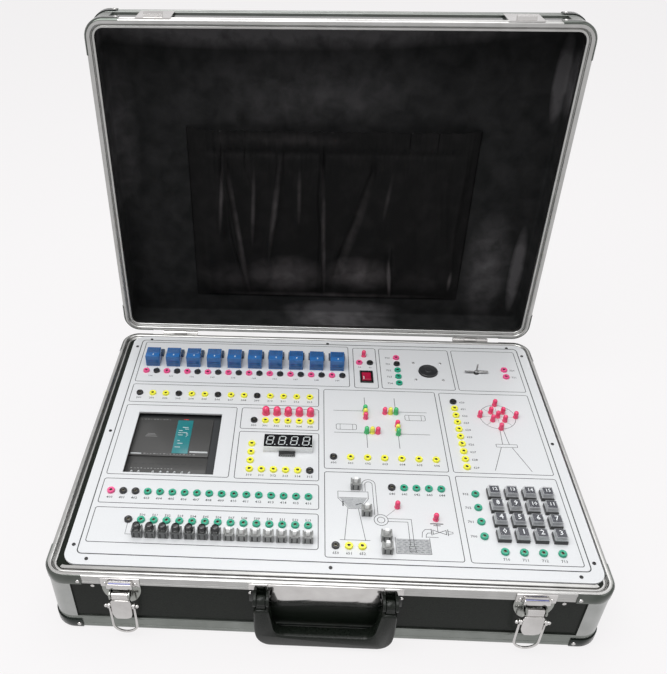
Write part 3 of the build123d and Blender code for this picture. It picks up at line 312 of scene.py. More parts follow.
def turned(bm, profile, steps, material=0, place=(0, 0, 0)):
    """A round piece: a profile of radius and height spun about an upright axis."""
    points = [bm.verts.new((radius, 0, height)) for radius, height in profile]
    edges = [bm.edges.new(pair) for pair in zip(points, points[1:])]
    old = set(bm.faces)
    bmesh.ops.spin(
        bm, geom=points + edges, cent=(0, 0, 0), axis=(0, 0, 1), dvec=(0, 0, 0), angle=2 * math.pi,
        steps=steps, use_merge=True, use_duplicate=False,
    )
    verts = list({v for f in bm.faces if f not in old for v in f.verts})
    bmesh.ops.remove_doubles(bm, verts=verts, dist=0.001)
    faces = [f for f in bm.faces if f not in old]
    bmesh.ops.recalc_face_normals(bm, faces=faces)
    for face in faces:
        face.material_index = material
    verts = list({v for f in faces for v in f.verts})
    bmesh.ops.translate(bm, vec=place, verts=verts)
    return verts


def rivet(bm, place, facing, radius=1.9, rise=1.1, material=0):
    """A domed rivet head on a surface that faces one way."""
    dome = [(radius, 0), (radius * 0.92, rise * 0.5), (radius * 0.6, rise * 0.88), (0, rise)]
    turn = Vector((0, 0, 1)).rotation_difference(Vector(facing)).to_matrix().to_4x4()
    verts = turned(bm, dome, 12, material)
    bmesh.ops.transform(bm, matrix=Matrix.Translation(place) @ turn, verts=verts)


def corner_pieces(bm, top, bottom):
    """Pressed corner pieces below the rim and at the foot, with a rivet on each leg."""
    corner_bits(bm, casting_section, top, 34.0)
    corner_bits(bm, foot_section, bottom, 26.0)
    for face in bm.faces:
        if face.calc_center_median().z < bottom + FOOT_HEIGHT:
            face.material_index = 2
    for side in (-1, 1):
        for end in (-1, 1):
            for x, y, z, proud, rise in (
                (214, 149, top - 6.1, 0.9, 0.6),
                (222, 157, bottom + 6.5, 1.2, 0.5),
            ):
                front, flank = DEPTH / 2 + proud, WIDTH / 2 + proud - 0.1
                rivet(bm, (side * x, end * front, z), (0, end, 0), material=1)
                rivet(bm, (side * flank, end * y, z), (side, 0, 0), rise=rise, material=1)


bm = bmesh.new()
band(bm, rim_section, RIM_TOP)
# A flat lip beside the panel, along the front only
start = profile_line(bm, lip_section, STRAIGHT_X, RIM_TOP)
near_end = turn_corner(bm, start, (STRAIGHT_X, -STRAIGHT_Y, 0), angle=math.radians(30), steps=3)
far_end = run_on(bm, start, (-2 * STRAIGHT_X, 0, 0))
far_end = turn_corner(bm, far_end, (-STRAIGHT_X, -STRAIGHT_Y, 0), angle=math.radians(-30), steps=3)
bmesh.ops.contextual_create(bm, geom=near_end)
bmesh.ops.contextual_create(bm, geom=far_end)
bmesh.ops.remove_doubles(bm, verts=bm.verts, dist=0.01)
bmesh.ops.recalc_face_normals(bm, faces=bm.faces)
piece("base_rim", bm, [aluminium], "base", replaces=["base_frame"])
bm = bmesh.new()
band(bm, edge_section, 0.0)
corner_bits(bm, post_section(17.0, 65.2), 0.0, 23.0)
bmesh.ops.recalc_face_normals(bm, faces=bm.faces)
for face in bm.faces:
    if face.calc_center_median().z > 17.2:
        face.material_index = 1
piece("base_edge_strips", bm, [dull_aluminium, post_aluminium], "base", slot="aluminium")
bm = bmesh.new()
corner_pieces(bm, RIM_TOP, 0.0)
for side in (-1, 1):
    for end in (-1, 1):
        rivet(bm, (side * 202.5, end * 178.5, 60.8), (0, end, 0), material=1)
piece("base_corner_pieces", bm, [dark_chrome, chrome, foot_steel], "base", slot="aluminium")

# Lid trim. The lid's frame is of the same extrusions as the base's, a little shallower, with the
# same riveted corner pieces. It is drawn lying flat, mouth up, and turned into the open lid.
LEAN = math.radians(1.0)
HINGE_Y, HINGE_Z = 182.4, 75.0
LID_MIDDLE = HINGE_Y
LID_TOP, LID_HEIGHT = -0.2, 45.0


def into_lid(bm):
    """Move work drawn flat, with its mouth up at zero height and the hinge at y = 0, into the open lid."""
    sine, cosine = math.sin(LEAN), math.cos(LEAN)
    turn = Matrix(((1, 0, 0), (0, sine, -cosine), (0, cosine, sine))).to_4x4()
    bmesh.ops.transform(bm, matrix=Matrix.Translation((0, HINGE_Y, HINGE_Z)) @ turn, verts=bm.verts[:])


def lid_piece(name, bm, materials, **named):
    """Place a drawing made round the case's middle in the lid, and finish it."""
    bmesh.ops.translate(bm, vec=(0, LID_MIDDLE, 0), verts=bm.verts)
    into_lid(bm)
    piece(name, bm, materials, "lid", **named)


bm = bmesh.new()
band(bm, rim_section, LID_TOP)
bmesh.ops.recalc_face_normals(bm, faces=bm.faces)
lid_piece("lid_rim", bm, [aluminium], replaces=["lid_frame"])
bm = bmesh.new()
band(bm, [(d, z if z < 12 else z - 2.0) for d, z in edge_section], -LID_HEIGHT)
corner_bits(bm, post_section(15.0, 35.2), -LID_HEIGHT, 23.0)
bmesh.ops.recalc_face_normals(bm, faces=bm.faces)
lid_piece("lid_edge_strips", bm, [dull_aluminium], slot="aluminium")
bm = bmesh.new()
corner_pieces(bm, LID_TOP, -LID_HEIGHT)
lid_piece("lid_corner_pieces", bm, [dark_chrome, chrome, foot_steel], slot="aluminium")

# Latch plates, the handle's bracket and hinge leaves. Pressed and plated steel, riveted to the
# boards and hooked over the rim; the handle hangs between black moulded lugs.
moulded = finish(
    "satin_black_plastic", (0.005, 0.007, 0.005), (0.011, 0.014, 0.011), 500, (0.22, 0.30),
    bump=0.05, gleam=0.22,
)
dull_steel = finish("dull_steel", (0.26, 0.27, 0.25), (0.34, 0.35, 0.33), 50, (0.14, 0.22), metal=1.0)
blued = finish("blued_steel", (0.10, 0.11, 0.24), (0.20, 0.21, 0.36), 90, (0.12, 0.2), metal=1.0)
FRONT_BOARD, PLATE_FRONT, TAB_FRONT = -178.5, -179.9, -181.2
LATCH_X, PIVOT_Y, PIVOT_Z, PIN_Y, PIN_Z = 177.0, -186.5, 60.0, -187.6, 46.0
HANDLE_Y, HANDLE_Z = -187.2, 60.5


def block(bm, x0, x1, y0, y1, z0, z1, bevel=0.3, material=0, segments=2):
    """A moulded block between two corners, its edges rounded."""
    old = set(bm.faces)
    made = bmesh.ops.create_cube(bm, size=1.0)["verts"]
    bmesh.ops.scale(bm, vec=(x1 - x0, y1 - y0, z1 - z0), verts=made)
    bmesh.ops.translate(bm, vec=((x0 + x1) / 2, (y0 + y1) / 2, (z0 + z1) / 2), verts=made)
    if bevel:
        edges = list({e for v in made for e in v.link_edges})
        bmesh.ops.bevel(
            bm, geom=edges, offset=bevel, segments=segments, profile=0.5, affect="EDGES", material=-1
        )
    faces = [f for f in bm.faces if f not in old]
    for face in faces:
        face.material_index = material
    return list({v for f in faces for v in f.verts})


def lay_across(bm, verts, place):
    """Turn a round piece made upright so that it lies across the case at a place."""
    turn = Matrix.Translation(place) @ Matrix.Rotation(math.pi / 2, 4, "Y")
    bmesh.ops.transform(bm, matrix=turn, verts=verts)


def barrel(bm, x0, x1, y, z, radius, steps=20, material=0):
    """A rod across the case."""
    half = (x1 - x0) / 2
    soft = min(0.3, radius * 0.3)
    profile = [
        (0, -half), (radius - soft, -half), (radius, soft - half),
        (radius, half - soft), (radius - soft, half), (0, half),
    ]
    lay_across(bm, turned(bm, profile, steps, material), ((x0 + x1) / 2, y, z))


def both_sides(half):
    """A whole outline from its left half, mirrored in reverse order."""
    return half + [(-across, height, radius) for across, height, radius in reversed(half)]


def plate(bm, x, outline, y_back, y_front, edge=0.3, material=0):
    """A plate parallel to the front: places across and up with each corner's radius, and a thickness."""
    old = set(bm.faces)
    points = [bm.verts.new((x + across, y_back, height)) for across, height, _ in outline]
    bm.faces.new(points)
    for point, (_, _, radius) in zip(points, outline):
        if radius:
            bmesh.ops.bevel(
                bm, geom=[point], offset=radius, segments=5, profile=0.5, affect="VERTICES", material=-1
            )
    flat = [f for f in bm.faces if f not in old]
    grown = bmesh.ops.extrude_face_region(bm, geom=flat)["geom"]
    bmesh.ops.translate(bm, vec=(0, y_front - y_back, 0), verts=verts_in(grown))
    faces = [f for f in bm.faces if f not in old]
    bmesh.ops.recalc_face_normals(bm, faces=faces)
    edges = {e for f in faces for e in f.edges}
    rims = [e for e in edges if len(e.link_faces) == 2 and e.calc_face_angle() > 1.0]
    bmesh.ops.bevel(bm, geom=rims, offset=edge, segments=2, profile=0.5, affect="EDGES", material=-1)
    faces = [f for f in bm.faces if f not in old]
    for face in faces:
        face.material_index = material
    return list({v for f in faces for v in f.verts})


bm = bmesh.new()
for side in (-1, 1):
    x = side * LATCH_X
    shield = both_sides([(-17, 65, 0), (-17, 54, 5), (-10, 41, 5)])
    plate(bm, x, shield, FRONT_BOARD, PLATE_FRONT, 0.3, 3)
    block(bm, x - 17, x + 17, TAB_FRONT, PLATE_FRONT, 64.0, 74.7)
    for hand in (-1, 1):
        rivet(bm, (x + hand * 13.2, TAB_FRONT, 68.0), (0, -1, 0), 1.9, 1.2)
        inner = x + hand * 8.3
        barrel(bm, inner - 0.7, inner + 0.7, PIVOT_Y, PIVOT_Z, 4.2, 24, 3)
        block(bm, inner - 0.7, inner + 0.7, PIVOT_Y, -179.7, PIVOT_Z - 4.2, PIVOT_Z + 4.2, 0.1, 3, 1)
    barrel(bm, x - 9.0, x + 9.0, PIVOT_Y, PIVOT_Z, 1.2, 14)
    cup = block(bm, x - 11.5, x + 11.5, -186.2, -180.8, 65.8, 71.8, 1.4, 0, 3)
    for face in [f for f in bm.faces if f.normal.z > 0.95 and all(v in cup for v in f.verts)]:
        bmesh.ops.inset_region(
            bm, faces=[face], thickness=0.6, depth=-0.8, use_even_offset=True, use_boundary=True
        )
        face.material_index = 2
# The handle's plate and lugs
bracket = [(-49.4, 74.6, 0), (-49.4, 51, 2), (-38, 50.2, 2), (-30, 51.2, 2), (-24, 53.4, 3), (-18, 51.2, 2)]
plate(bm, 0, both_sides(bracket + [(-8, 50.4, 2)]), -180.1, TAB_FRONT)
block(bm, -49.0, 49.0, -180.2, FRONT_BOARD, 52.0, 65.1, 0.1, 1)
strap = [(-49.4, 52, 0), (-49.4, 42, 1), (-30, 44.4, 6), (-10, 45.2, 6)]
plate(bm, 0, both_sides(strap), FRONT_BOARD, -180.0, 0.4, 1)
for side in (-1, 1):
    near, far = sorted((side * 49.6, side * 66.0))
    block(bm, near, far, TAB_FRONT, -178.6, 50.0, 67.0, 0.8, 1)
    block(bm, near, far, TAB_FRONT, -180.0, 66.5, 74.7)
    rivet(bm, (side * 64.6, TAB_FRONT, 63.0), (0, -1, 0), 1.7, 1.1)
    for cheek in (side * 49.6, side * 60.5):
        barrel(bm, cheek - 1.3, cheek + 1.3, HANDLE_Y, HANDLE_Z, 5.5, 24, 1)
        block(bm, cheek - 1.3, cheek + 1.3, HANDLE_Y, PLATE_FRONT, HANDLE_Z - 5.5, HANDLE_Z + 5.5, 0.2, 1, 1)
    near, far = sorted((side * 48.3, side * 61.8))
    barrel(bm, near, far, HANDLE_Y, HANDLE_Z, 2.0, 14, 1)
# Hinge leaves on the back board
for side in (-1, 1):
    x = side * LATCH_X
    block(bm, x - 21, x + 21, 180.0, 181.2, 50.0, 72.3)
    for start, stop in ((x - 21, x - 7.3), (x + 7.3, x + 21)):
        barrel(bm, start, stop, HINGE_Y, HINGE_Z, 2.3)
        block(bm, start, stop, 180.0, 181.2, 72.2, HINGE_Z, 0.1, 0, 1)
    barrel(bm, x - 21, x + 21, HINGE_Y, HINGE_Z, 1.1, 12)
    for screw_x, screw_z in ((-14, 64), (14, 64), (0, 56)):
        rivet(bm, (x + screw_x, 181.2, screw_z), (0, 1, 0), 2.4, 0.9)
piece("base_hardware", bm, [chrome, moulded, blued, dull_steel], "base", replaces=["base_fittings"])
dress("lid_fittings", chrome)

# Latch levers and bails. A lever pressed from plated steel turns between the plate's cheeks; low on
# it a pin with ball ends carries a bail bent from round wire, with a small eye at each end.
BEND_Z, BAIL_Z = 43.4, 18.3
knob_section = [(0, -1.9), (1.1, -1.6), (1.75, -0.8), (1.9, 0), (1.75, 0.8), (1.1, 1.6), (0, 1.9)]
eye_section = [(1.5, -1.15), (2.5, -1.15), (2.6, -0.9), (2.6, 0.9), (2.5, 1.15), (1.5, 1.15), (1.5, -1.15)]
for side, word in ((-1, "left"), (1, "right")):
    x = side * LATCH_X
    bm = bmesh.new()
    block(bm, x - 7.3, x + 7.3, -188.3, -186.3, 53.0, 60.6)
    barrel(bm, x - 7.3, x + 7.3, PIVOT_Y, PIVOT_Z, 2.4)
    tongue = both_sides([(-8.9, 54.3, 2.5), (-8.9, 33.5, 5), (-5.0, 31, 3)])
    for vert in plate(bm, x, tongue, -186.4, -189.0, 0.5):
        if vert.co.z < BEND_Z:
            vert.co.y -= (BEND_Z - vert.co.z) * 0.15
    for hand in (-1, 1):
        near, far = sorted((x + hand * 8.5, x + hand * 12.3))
        barrel(bm, near, far, PIN_Y, PIN_Z, 1.2, 12)
        lay_across(bm, turned(bm, knob_section, 14), (x + hand * 13.5, PIN_Y, PIN_Z))
    piece(f"lever_{word}", bm, [chrome], f"latch_lever_{word}", replaces=[f"latch_lever_{word}"])
    bm = bmesh.new()
    ring = bmesh.ops.create_circle(bm, segments=10, radius=1.15, cap_ends=False)["verts"]
    bmesh.ops.translate(bm, vec=(x - 10.7, PIN_Y, PIN_Z - 1.6), verts=ring)
    edges = run_on(bm, bm.edges[:], (0, 0, -26.1))
    edges = turn_corner(bm, edges, (x, PIN_Y, BAIL_Z), (0, -1, 0), math.pi, 20)
    run_on(bm, edges, (0, 0, 26.1))
    bmesh.ops.remove_doubles(bm, verts=bm.verts, dist=0.001)
    for hand in (-1, 1):
        lay_across(bm, turned(bm, eye_section, 16), (x + hand * 10.7, PIN_Y, PIN_Z))
    bmesh.ops.recalc_face_normals(bm, faces=bm.faces)
    piece(f"bail_{word}", bm, [chrome], f"latch_bail_{word}", replaces=[f"latch_bail_{word}"])

# Carrying handle. A bow of satin black plastic, moulded in one with the tongues at its ends,
# which turn on pins between the bracket's lugs.
bm = bmesh.new()
bow = [
    (-61.4, 54.4, 4), (-61.4, 24, 5), (-59.5, 12, 5), (-52, 4.1, 5), (52, 4.1, 5), (59.5, 12, 5),
    (61.4, 24, 5), (61.4, 54.4, 4), (48.4, 54.4, 4), (43.0, 18.4, 9), (-43.0, 18.4, 9), (-48.4, 54.4, 4),
]
plate(bm, 0, bow, -182.1, -193.9, 1.7)
for side in (-1, 1):
    near, far = sorted((side * 51.4, side * 58.8))
    barrel(bm, near, far, HANDLE_Y, HANDLE_Z, 5.0, 24)
    block(bm, near, far, -192.0, -182.4, 53.0, HANDLE_Z, 0.4)
piece("handle_bow", bm, [moulded], "handle", replaces=["handle"], flat_angle=50.0)

# Lid lining. Black plush, stretched over the floor of the lid's tray and glued there and up the
# walls behind the rim; its crushed pile carries soft lighter patches of painted sheen, and its top
# edge is painted lighter against the shade of the rim.
TRAY_X, TRAY_Y, TRAY_FLOOR, LINING_RISE = 475.4, 345.4, -37.7, 29.5
LINING_Y, LID_FAR = 215.0, 362.4


def pile_cloth(name, dark, light, base, painted_light_spots, rough, gleam, sheen, weave_scale):
    """Napped black cloth: soft lighter patches of painted sheen and painted light, broken up by noise, and a
    fine weave.

    A spot of painted light is its place across and down from the lid's top, its half width and half
    height in millimetres, its strength and its lean.
    """
    made = bpy.data.materials.new(name)
    made.use_nodes = True
    tree = made.node_tree
    where = node(tree, "TexCoord", {}).outputs["Object"]
    total = base
    for u, v_top, half_u, half_v, strength, lean in painted_light_spots:
        place = node(tree, "Mapping", {
            "Vector": where, "Location": Vector((u, LINING_Y, HINGE_Z + LID_FAR - v_top)) * MM,
            "Rotation": (0, math.atan(lean), 0), "Scale": (half_u * MM, 0.25, half_v * MM),
        }, vector_type="TEXTURE")
        spot = node(tree, "TexGradient", {"Vector": place.outputs["Vector"]}, gradient_type="SPHERICAL")
        amount = node(tree, "Math", {0: spot.outputs["Fac"], 1: strength, 2: total}, operation="MULTIPLY_ADD")
        total = amount.outputs[0]
    crumple = node(tree, "TexNoise", {"Vector": where, "Scale": 60.0, "Detail": 8.0, "Distortion": 0.3})
    mixed = node(tree, "Math", {0: crumple.outputs["Fac"], 1: total}, operation="MULTIPLY")
    weave = node(tree, "TexNoise", {"Vector": where, "Scale": weave_scale})
    relief = node(tree, "Bump", {"Height": weave.outputs["Fac"], "Strength": 0.3, "Distance": 0.0005})
    feed(tree, tree.nodes["Principled BSDF"], {
        "Base Color": ramp(tree, mixed.outputs[0], 0.05, dark, 0.6, light),
        "Normal": relief.outputs["Normal"], "Roughness": rough, "Specular IOR Level": gleam,
        "Sheen Weight": sheen, "Sheen Roughness": 0.35, "Sheen Tint": (0.86, 0.77, 0.79, 1),
    })
    return made


# Painted light on the lining: sheen on the crushed pile above the pocket, at its sides and below it, and a
# strong lightening along the top edge, where the rim shades it
plush = pile_cloth(
    "black_plush", (0.0056, 0.0062, 0.0062), (0.074, 0.071, 0.074), 0.20,
    (
        (-20, 82, 150, 66, 0.3, 0), (-60, 4, 300, 34, 2.4, 0), (-235, 120, 26, 120, 0.5, 0),
        (190, 285, 30, 80, 0.8, 0), (231, 62, 9, 48, 2.4, 0), (226, 285, 9, 60, 2.0, 0),
        (20, 346, 80, 14, 1.6, 0),
    ),
    0.8, 0.07, 0.008, 1500.0,
)
bm = bmesh.new()
bmesh.ops.create_grid(bm, x_segments=1, y_segments=1, size=0.5)
bmesh.ops.scale(bm, vec=(TRAY_X - 1.0, TRAY_Y - 1.0, 1), verts=bm.verts)
bmesh.ops.bevel(
    bm, geom=bm.verts[:], offset=9.0, segments=6, profile=0.5, affect="VERTICES", material=-1
)
run_on(bm, [e for e in bm.edges if e.is_boundary], (0, 0, LINING_RISE))
bottom = [e for e in bm.edges if len(e.link_faces) == 2 and abs(e.verts[0].co.z - e.verts[1].co.z) < 0.01]
bmesh.ops.bevel(bm, geom=bottom, offset=4.0, segments=4, profile=0.5, affect="EDGES", material=-1)
bmesh.ops.recalc_face_normals(bm, faces=bm.faces)
if max(bm.faces, key=lambda f: f.calc_area()).normal.z < 0:
    bmesh.ops.reverse_faces(bm, faces=bm.faces)
bmesh.ops.solidify(bm, geom=bm.faces[:], thickness=1.4)
bmesh.ops.translate(bm, vec=(0, LID_MIDDLE, TRAY_FLOOR + 1.6), verts=bm.verts)
into_lid(bm)
lining = piece("plush_lining", bm, [plush], "lid", replaces=["lid_lining"])

# Lid pocket. Black velvet cloth sewn to the lining at its sides and bottom, and gathered by an
# elastic near its top; the gathers hang from it in long soft folds.
POCKET_LEFT, POCKET_RIGHT, POCKET_LOW, POCKET_HIGH = -158.0, 160.0, 35.5, 246.5
ELASTIC = 222.0
POCKET_BACK = -35.7
# Each fold's line across and up the pocket, its rise, and how far it reaches to each side
fold_lines = (
    (((-123.6, 128), (-118, 200)), 4.0, 5.0),
    (((-94, 36), (-97.5, 68), (-108, 116), (-114, 169), (-118, 217)), 6.0, 3.4),
    (((-88.4, 125), (-83.7, 182), (-92, 216)), 4.0, 4.6),
    (((-69.2, 91), (-66.3, 125), (-59.3, 150), (-55.7, 216)), 4.6, 4.2),
    (((-34.6, 151), (-35.5, 205)), 3.6, 5.0),
    (((-2, 36), (-7.5, 52), (-7.4, 135), (-10.4, 167), (-10, 214)), 6.0, 3.4),
    (((9.2, 57), (15.6, 93), (32, 144), (47, 199)), -5.0, 5.0),
    (((62, 150), (66.7, 184)), 3.0, 5.0),
    (((78.7, 41), (71.9, 99)), 5.4, 3.4),
    (((135, 121), (128.5, 174)), -4.0, 5.0),
    (((110, 60), (104, 130), (101, 200)), 3.0, 6.0),
    (((148, 60), (143, 130), (147, 205)), 3.6, 5.0),
    (((-140, 50), (-143, 110)), 3.0, 6.0),
    (((40, 40), (47, 90), (60, 130)), 3.4, 6.0),
)


def along_line(points, v):
    """The place of a fold line at one height, and how far past its ends that height lies."""
    (low_u, low_v), (high_u, high_v) = points[0], points[-1]
    if v <= low_v:
        return low_u, low_v - v
    if v >= high_v:
        return high_u, v - high_v
    for (u0, v0), (u1, v1) in zip(points, points[1:]):
        if v <= v1:
            return u0 + (u1 - u0) * (v - v0) / (v1 - v0), 0.0


def cloth_height(u, v):
    """Height of the pocket's cloth over the lining at a place."""
    rise = min(1.0, (v - POCKET_LOW) / 70.0)
    side = min(1.0, (u - POCKET_LEFT) / 30.0, (POCKET_RIGHT - u) / 30.0)
    height = 0.6 + 9.4 * math.sin(rise * math.pi / 2) * math.sin(max(side, 0.0) * math.pi / 2)
    for points, rise_of_fold, reach in fold_lines:
        at, past = along_line(points, v)
        fade = math.exp(-(past / 16.0) ** 2)
        height += rise_of_fold * fade * math.exp(-((u - at) / reach) ** 2) * min(1.0, rise * 1.6) * side
    near = math.exp(-((v - ELASTIC) / 26.0) ** 2) if v < ELASTIC else 1.0
    gather = math.sin(u * 1.05 + 1.3 * math.sin(u * 0.21))
    gather += 0.6 * math.sin(u * 1.93 + 0.8 * math.sin(u * 0.13 + 2.0))
    height += 0.58 * near * gather * side
    height -= 1.9 * math.exp(-((v - ELASTIC) / 4.0) ** 2) * side
    if v > ELASTIC:
        height += 0.8 * (v - ELASTIC) / (POCKET_HIGH - ELASTIC)
    return max(height, 0.5)


# Painted highlights on the pocket: lighter streaks along the folds, leaning with them, and painted sheen on
# the bulges near its bottom, along its bottom seam and on the band above the elastic
cloth = pile_cloth(
    "black_velvet_cloth", (0.0020, 0.0020, 0.0021), (0.074, 0.067, 0.069), 0.11,
    (
        (-48, 294, 52, 30, 0.85, 0), (38, 292, 48, 28, 0.85, 0), (-122, 195, 3, 46, 0.5, 0.08),
        (-104, 236, 3.4, 98, 0.6, -0.13), (-86, 205, 3, 50, 0.5, 0.04), (-62, 208, 4, 66, 0.5, 0.11),
        (-34, 190, 3, 36, 0.4, 0), (-5, 240, 3, 92, 0.8, -0.04), (29, 232, 7, 74, 0.3, 0.27),
        (65, 190, 3, 30, 0.3, 0.12), (75, 296, 3, 32, 1.4, -0.12), (148, 300, 3, 16, 1.0, 0),
        (0, 325, 150, 5, 0.6, 0), (-60, 126, 90, 8, 0.2, 0), (-115, 300, 46, 26, 0.25, 0),
        (118, 300, 40, 26, 0.15, 0),
    ),
    0.5, 0.09, 0.006, 1300.0,
)
bm = bmesh.new()
bmesh.ops.create_grid(bm, x_segments=212, y_segments=92, size=0.5)
bmesh.ops.scale(bm, vec=(POCKET_RIGHT - POCKET_LEFT, POCKET_HIGH - POCKET_LOW, 1), verts=bm.verts)
middle = (POCKET_LEFT + POCKET_RIGHT) / 2, (POCKET_LOW + POCKET_HIGH) / 2, POCKET_BACK
bmesh.ops.translate(bm, vec=middle, verts=bm.verts)
for vert in bm.verts:
    u, v = vert.co.x, vert.co.y
    vert.co.z += cloth_height(u, v)
    if v > POCKET_HIGH - 0.5:
        vert.co.y += 0.5 * math.sin(u * 0.31) + 0.3 * math.sin(u * 0.9)
bmesh.ops.solidify(bm, geom=bm.faces[:], thickness=0.8)
into_lid(bm)
pocket = piece("pocket_cloth", bm, [cloth], "lid", replaces=["lid_pocket"], flat_angle=80.0)

# Control panel. A stiff sheet of pale grey laminate that lies on a ledge inside the base, held by
# twelve small pan-head screws near its edge.
DECK = 73.5
panel_face = finish("pale_panel", (0.65, 0.66, 0.675), (0.675, 0.685, 0.70), 900, (0.32, 0.40), coat=0.1)
dress("control_panel", panel_face)

# Printed lines. Frames round the panel's sections, and small diagrams of a road crossing, a tower
# and a tank, screen-printed on the laminate in dark grey ink.
ink = finish("dark_ink", (0.018, 0.020, 0.022), (0.035, 0.038, 0.042), 1200, (0.4, 0.6))
grey_ink = finish("grey_ink", (0.30, 0.31, 0.32), (0.42, 0.43, 0.44), 700, (0.4, 0.6))
INK_TOP, FILL_TOP = 0.05, 0.02
RELAY_PITCH, SWITCH_PITCH = 23.85, 11.88
RELAYS = [-200.1 + RELAY_PITCH * i for i in range(10)]
SWITCHES = [-170.56 + SWITCH_PITCH * i for i in range(14)]
SOCKET_SPREAD = 5.95
TOWER_X, TOWER_Y, TOWER_RING = 185.2, 43.9, 19.0


def frame_line(bm, x0, x1, y0, y1, radius, width):
    """A closed printed line round a rectangle with round corners."""
    made = bmesh.ops.create_grid(bm, x_segments=1, y_segments=1, size=0.5)["verts"]
    bmesh.ops.scale(bm, vec=(x1 - x0, y1 - y0, 1), verts=made)
    bmesh.ops.translate(bm, vec=((x0 + x1) / 2, (y0 + y1) / 2, DECK + INK_TOP), verts=made)
    rounded = bmesh.ops.bevel(
        bm, geom=made, offset=radius, segments=5, profile=0.5, affect="VERTICES", material=-1
    )["verts"]
    faces = [f for f in bm.faces if any(v in f.verts for v in rounded)]
    bmesh.ops.inset_region(
        bm, faces=faces, thickness=width, depth=0.0, use_even_offset=True, use_boundary=True
    )
    bmesh.ops.delete(bm, geom=faces, context="FACES_ONLY")


def stroke(bm, points, width=0.55):
    """A printed line through points, one flat bar for each run."""
    for (x0, y0), (x1, y1) in zip(points, points[1:]):
        length = math.hypot(x1 - x0, y1 - y0)
        bar = bmesh.ops.create_grid(bm, x_segments=1, y_segments=1, size=0.5)["verts"]
        turn = Matrix.Rotation(math.atan2(y1 - y0, x1 - x0), 4, "Z")
        place = Matrix.Translation(((x0 + x1) / 2, (y0 + y1) / 2, DECK + INK_TOP))
        size = Matrix.Diagonal((length + width, width, 1, 1))
        bmesh.ops.transform(bm, matrix=place @ turn @ size, verts=bar)


bm = bmesh.new()
frame_line(bm, -221.6, 230.0, -155.2, 167.8, 5.0, 1.0)
for x0, x1, y0, y1 in (
    (-216.3, 28.7, 87.5, 163.5), (33.7, 61.1, 86.3, 161.7), (64.6, 147.0, 86.5, 161.4),
    (150.5, 225.0, 86.4, 161.3), (-216.4, -6.2, 52.0, 83.2), (-216.3, -94.8, -57.8, 47.4),
    (-89.9, -6.1, 13.6, 47.3), (-89.8, -6.0, -58.5, 9.7), (-216.3, -6.0, -95.0, -63.0),
    (-216.6, -6.4, -141.7, -100.0), (-1.2, 122.5, -41.0, 82.4), (126.5, 224.8, -41.0, 81.5),
    (-1.0, 122.0, -149.5, -45.0), (127.0, 225.0, -150.0, -45.5),
):
    frame_line(bm, x0, x1, y0, y1, 2.6, 0.7)
# Road crossing
for x in (43.7, 76.6):
    stroke(bm, [(x, 69.7), (x, 50.6)])
    stroke(bm, [(x, 9.0), (x, -9.4)])
for y in (47.2, 12.4):
    stroke(bm, [(9.8, y), (40.4, y)])
    stroke(bm, [(80.0, y), (109.6, y)])
for x, y, start in ((40.4, 50.6, -90), (80.0, 50.6, 180), (40.4, 9.0, 0), (80.0, 9.0, 90)):
    stroke(bm, arc(x, y, 3.3, start, start + 90, 4))
frame_line(bm, 11.8, 33.7, 16.8, 25.7, 2.0, 0.5)
frame_line(bm, 85.6, 107.6, 33.7, 42.6, 2.0, 0.5)
for x, front, back in ((16.2, 17.2, 25.3), (29.4, 17.2, 25.3), (90.2, 34.0, 42.3), (103.2, 34.0, 42.3)):
    stroke(bm, [(x, front), (x, back)], 0.4)
# Tower with its ring of lamps
stroke(bm, arc(TOWER_X, TOWER_Y, TOWER_RING, steps=28), 0.5)
for angle in range(0, 360, 45):
    cosine, sine = math.cos(math.radians(angle)), math.sin(math.radians(angle))
    spoke = [(TOWER_X + reach * cosine, TOWER_Y + reach * sine) for reach in (4, TOWER_RING)]
    stroke(bm, spoke, 0.3)
frame_line(bm, 175.4, 197.4, -3.0, 1.8, 0.8, 0.5)
for run in (
    [(182.6, 1.8), (184.0, 24.8)], [(189.4, 1.8), (187.2, 24.8)],
    [(180.4, -3.0), (168.4, -36.2)], [(191.4, -3.0), (204.3, -36.1)],
):
    stroke(bm, run)


# The tank diagram's near left corner, and its scale each way
TANK_X, TANK_Y = -0.9, -149.7
TANK_WIDE, TANK_DEEP = 0.995, 0.977


def tank(x, y):
    """A place in the tank diagram, counted from its corner, on the panel."""
    return x * TANK_WIDE + TANK_X, y * TANK_DEEP + TANK_Y


def sketch(*points, width=0.5):
    """A printed line through places of the tank diagram."""
    stroke(bm, [tank(x, y) for x, y in points], width)


# Tank on its legs, with its tap
sketch((13, 81), (42, 81), (42, 72), (34, 59), (23, 59), (13, 72), (13, 81))
sketch((14, 73), (41, 73))
sketch((22, 59), (18, 21))
sketch((32, 59), (37, 21))
sketch((14, 21), (41, 21))
sketch((17.6, 68), (17.6, 62.5), width=1.2)
sketch((30, 64), (35, 66), width=0.9)
# Pipe over the tank, and the pump
stroke(bm, arc(*tank(43, 91), 6.5, 0, 180, 12))
stroke(bm, arc(*tank(43, 91), 3.6, 0, 180, 10))
sketch((49.5, 91), (50, 52.5))
sketch((46.5, 91), (47, 52))
sketch((36.5, 91), (36.5, 82))
sketch((39.5, 91), (39.5, 82))
stroke(bm, arc(*tank(52.5, 46), 6.5, steps=18))
stroke(bm, arc(*tank(52.5, 46), 3.5, steps=12))
sketch((59, 48), (80.5, 48), (80.5, 17))
sketch((59, 44.5), (77, 44.5), (77, 17))
sketch((76, 16), (81.5, 16), (81.5, 10), (76, 10), (76, 16))
sketch((76, 13), (81.5, 13), width=0.35)
# Reservoir with its water
sketch((64, 26), (64, 7.5), (95, 7.5), (95, 26))
for level in range(7):
    for dash in range(6):
        x, y = 65.5 + dash * 5 + (level % 2) * 1.6, 9.5 + level * 2.2
        sketch((x, y), (x + 2.4, y), width=0.35)
sketch((58, 51), (67, 60), width=0.35)
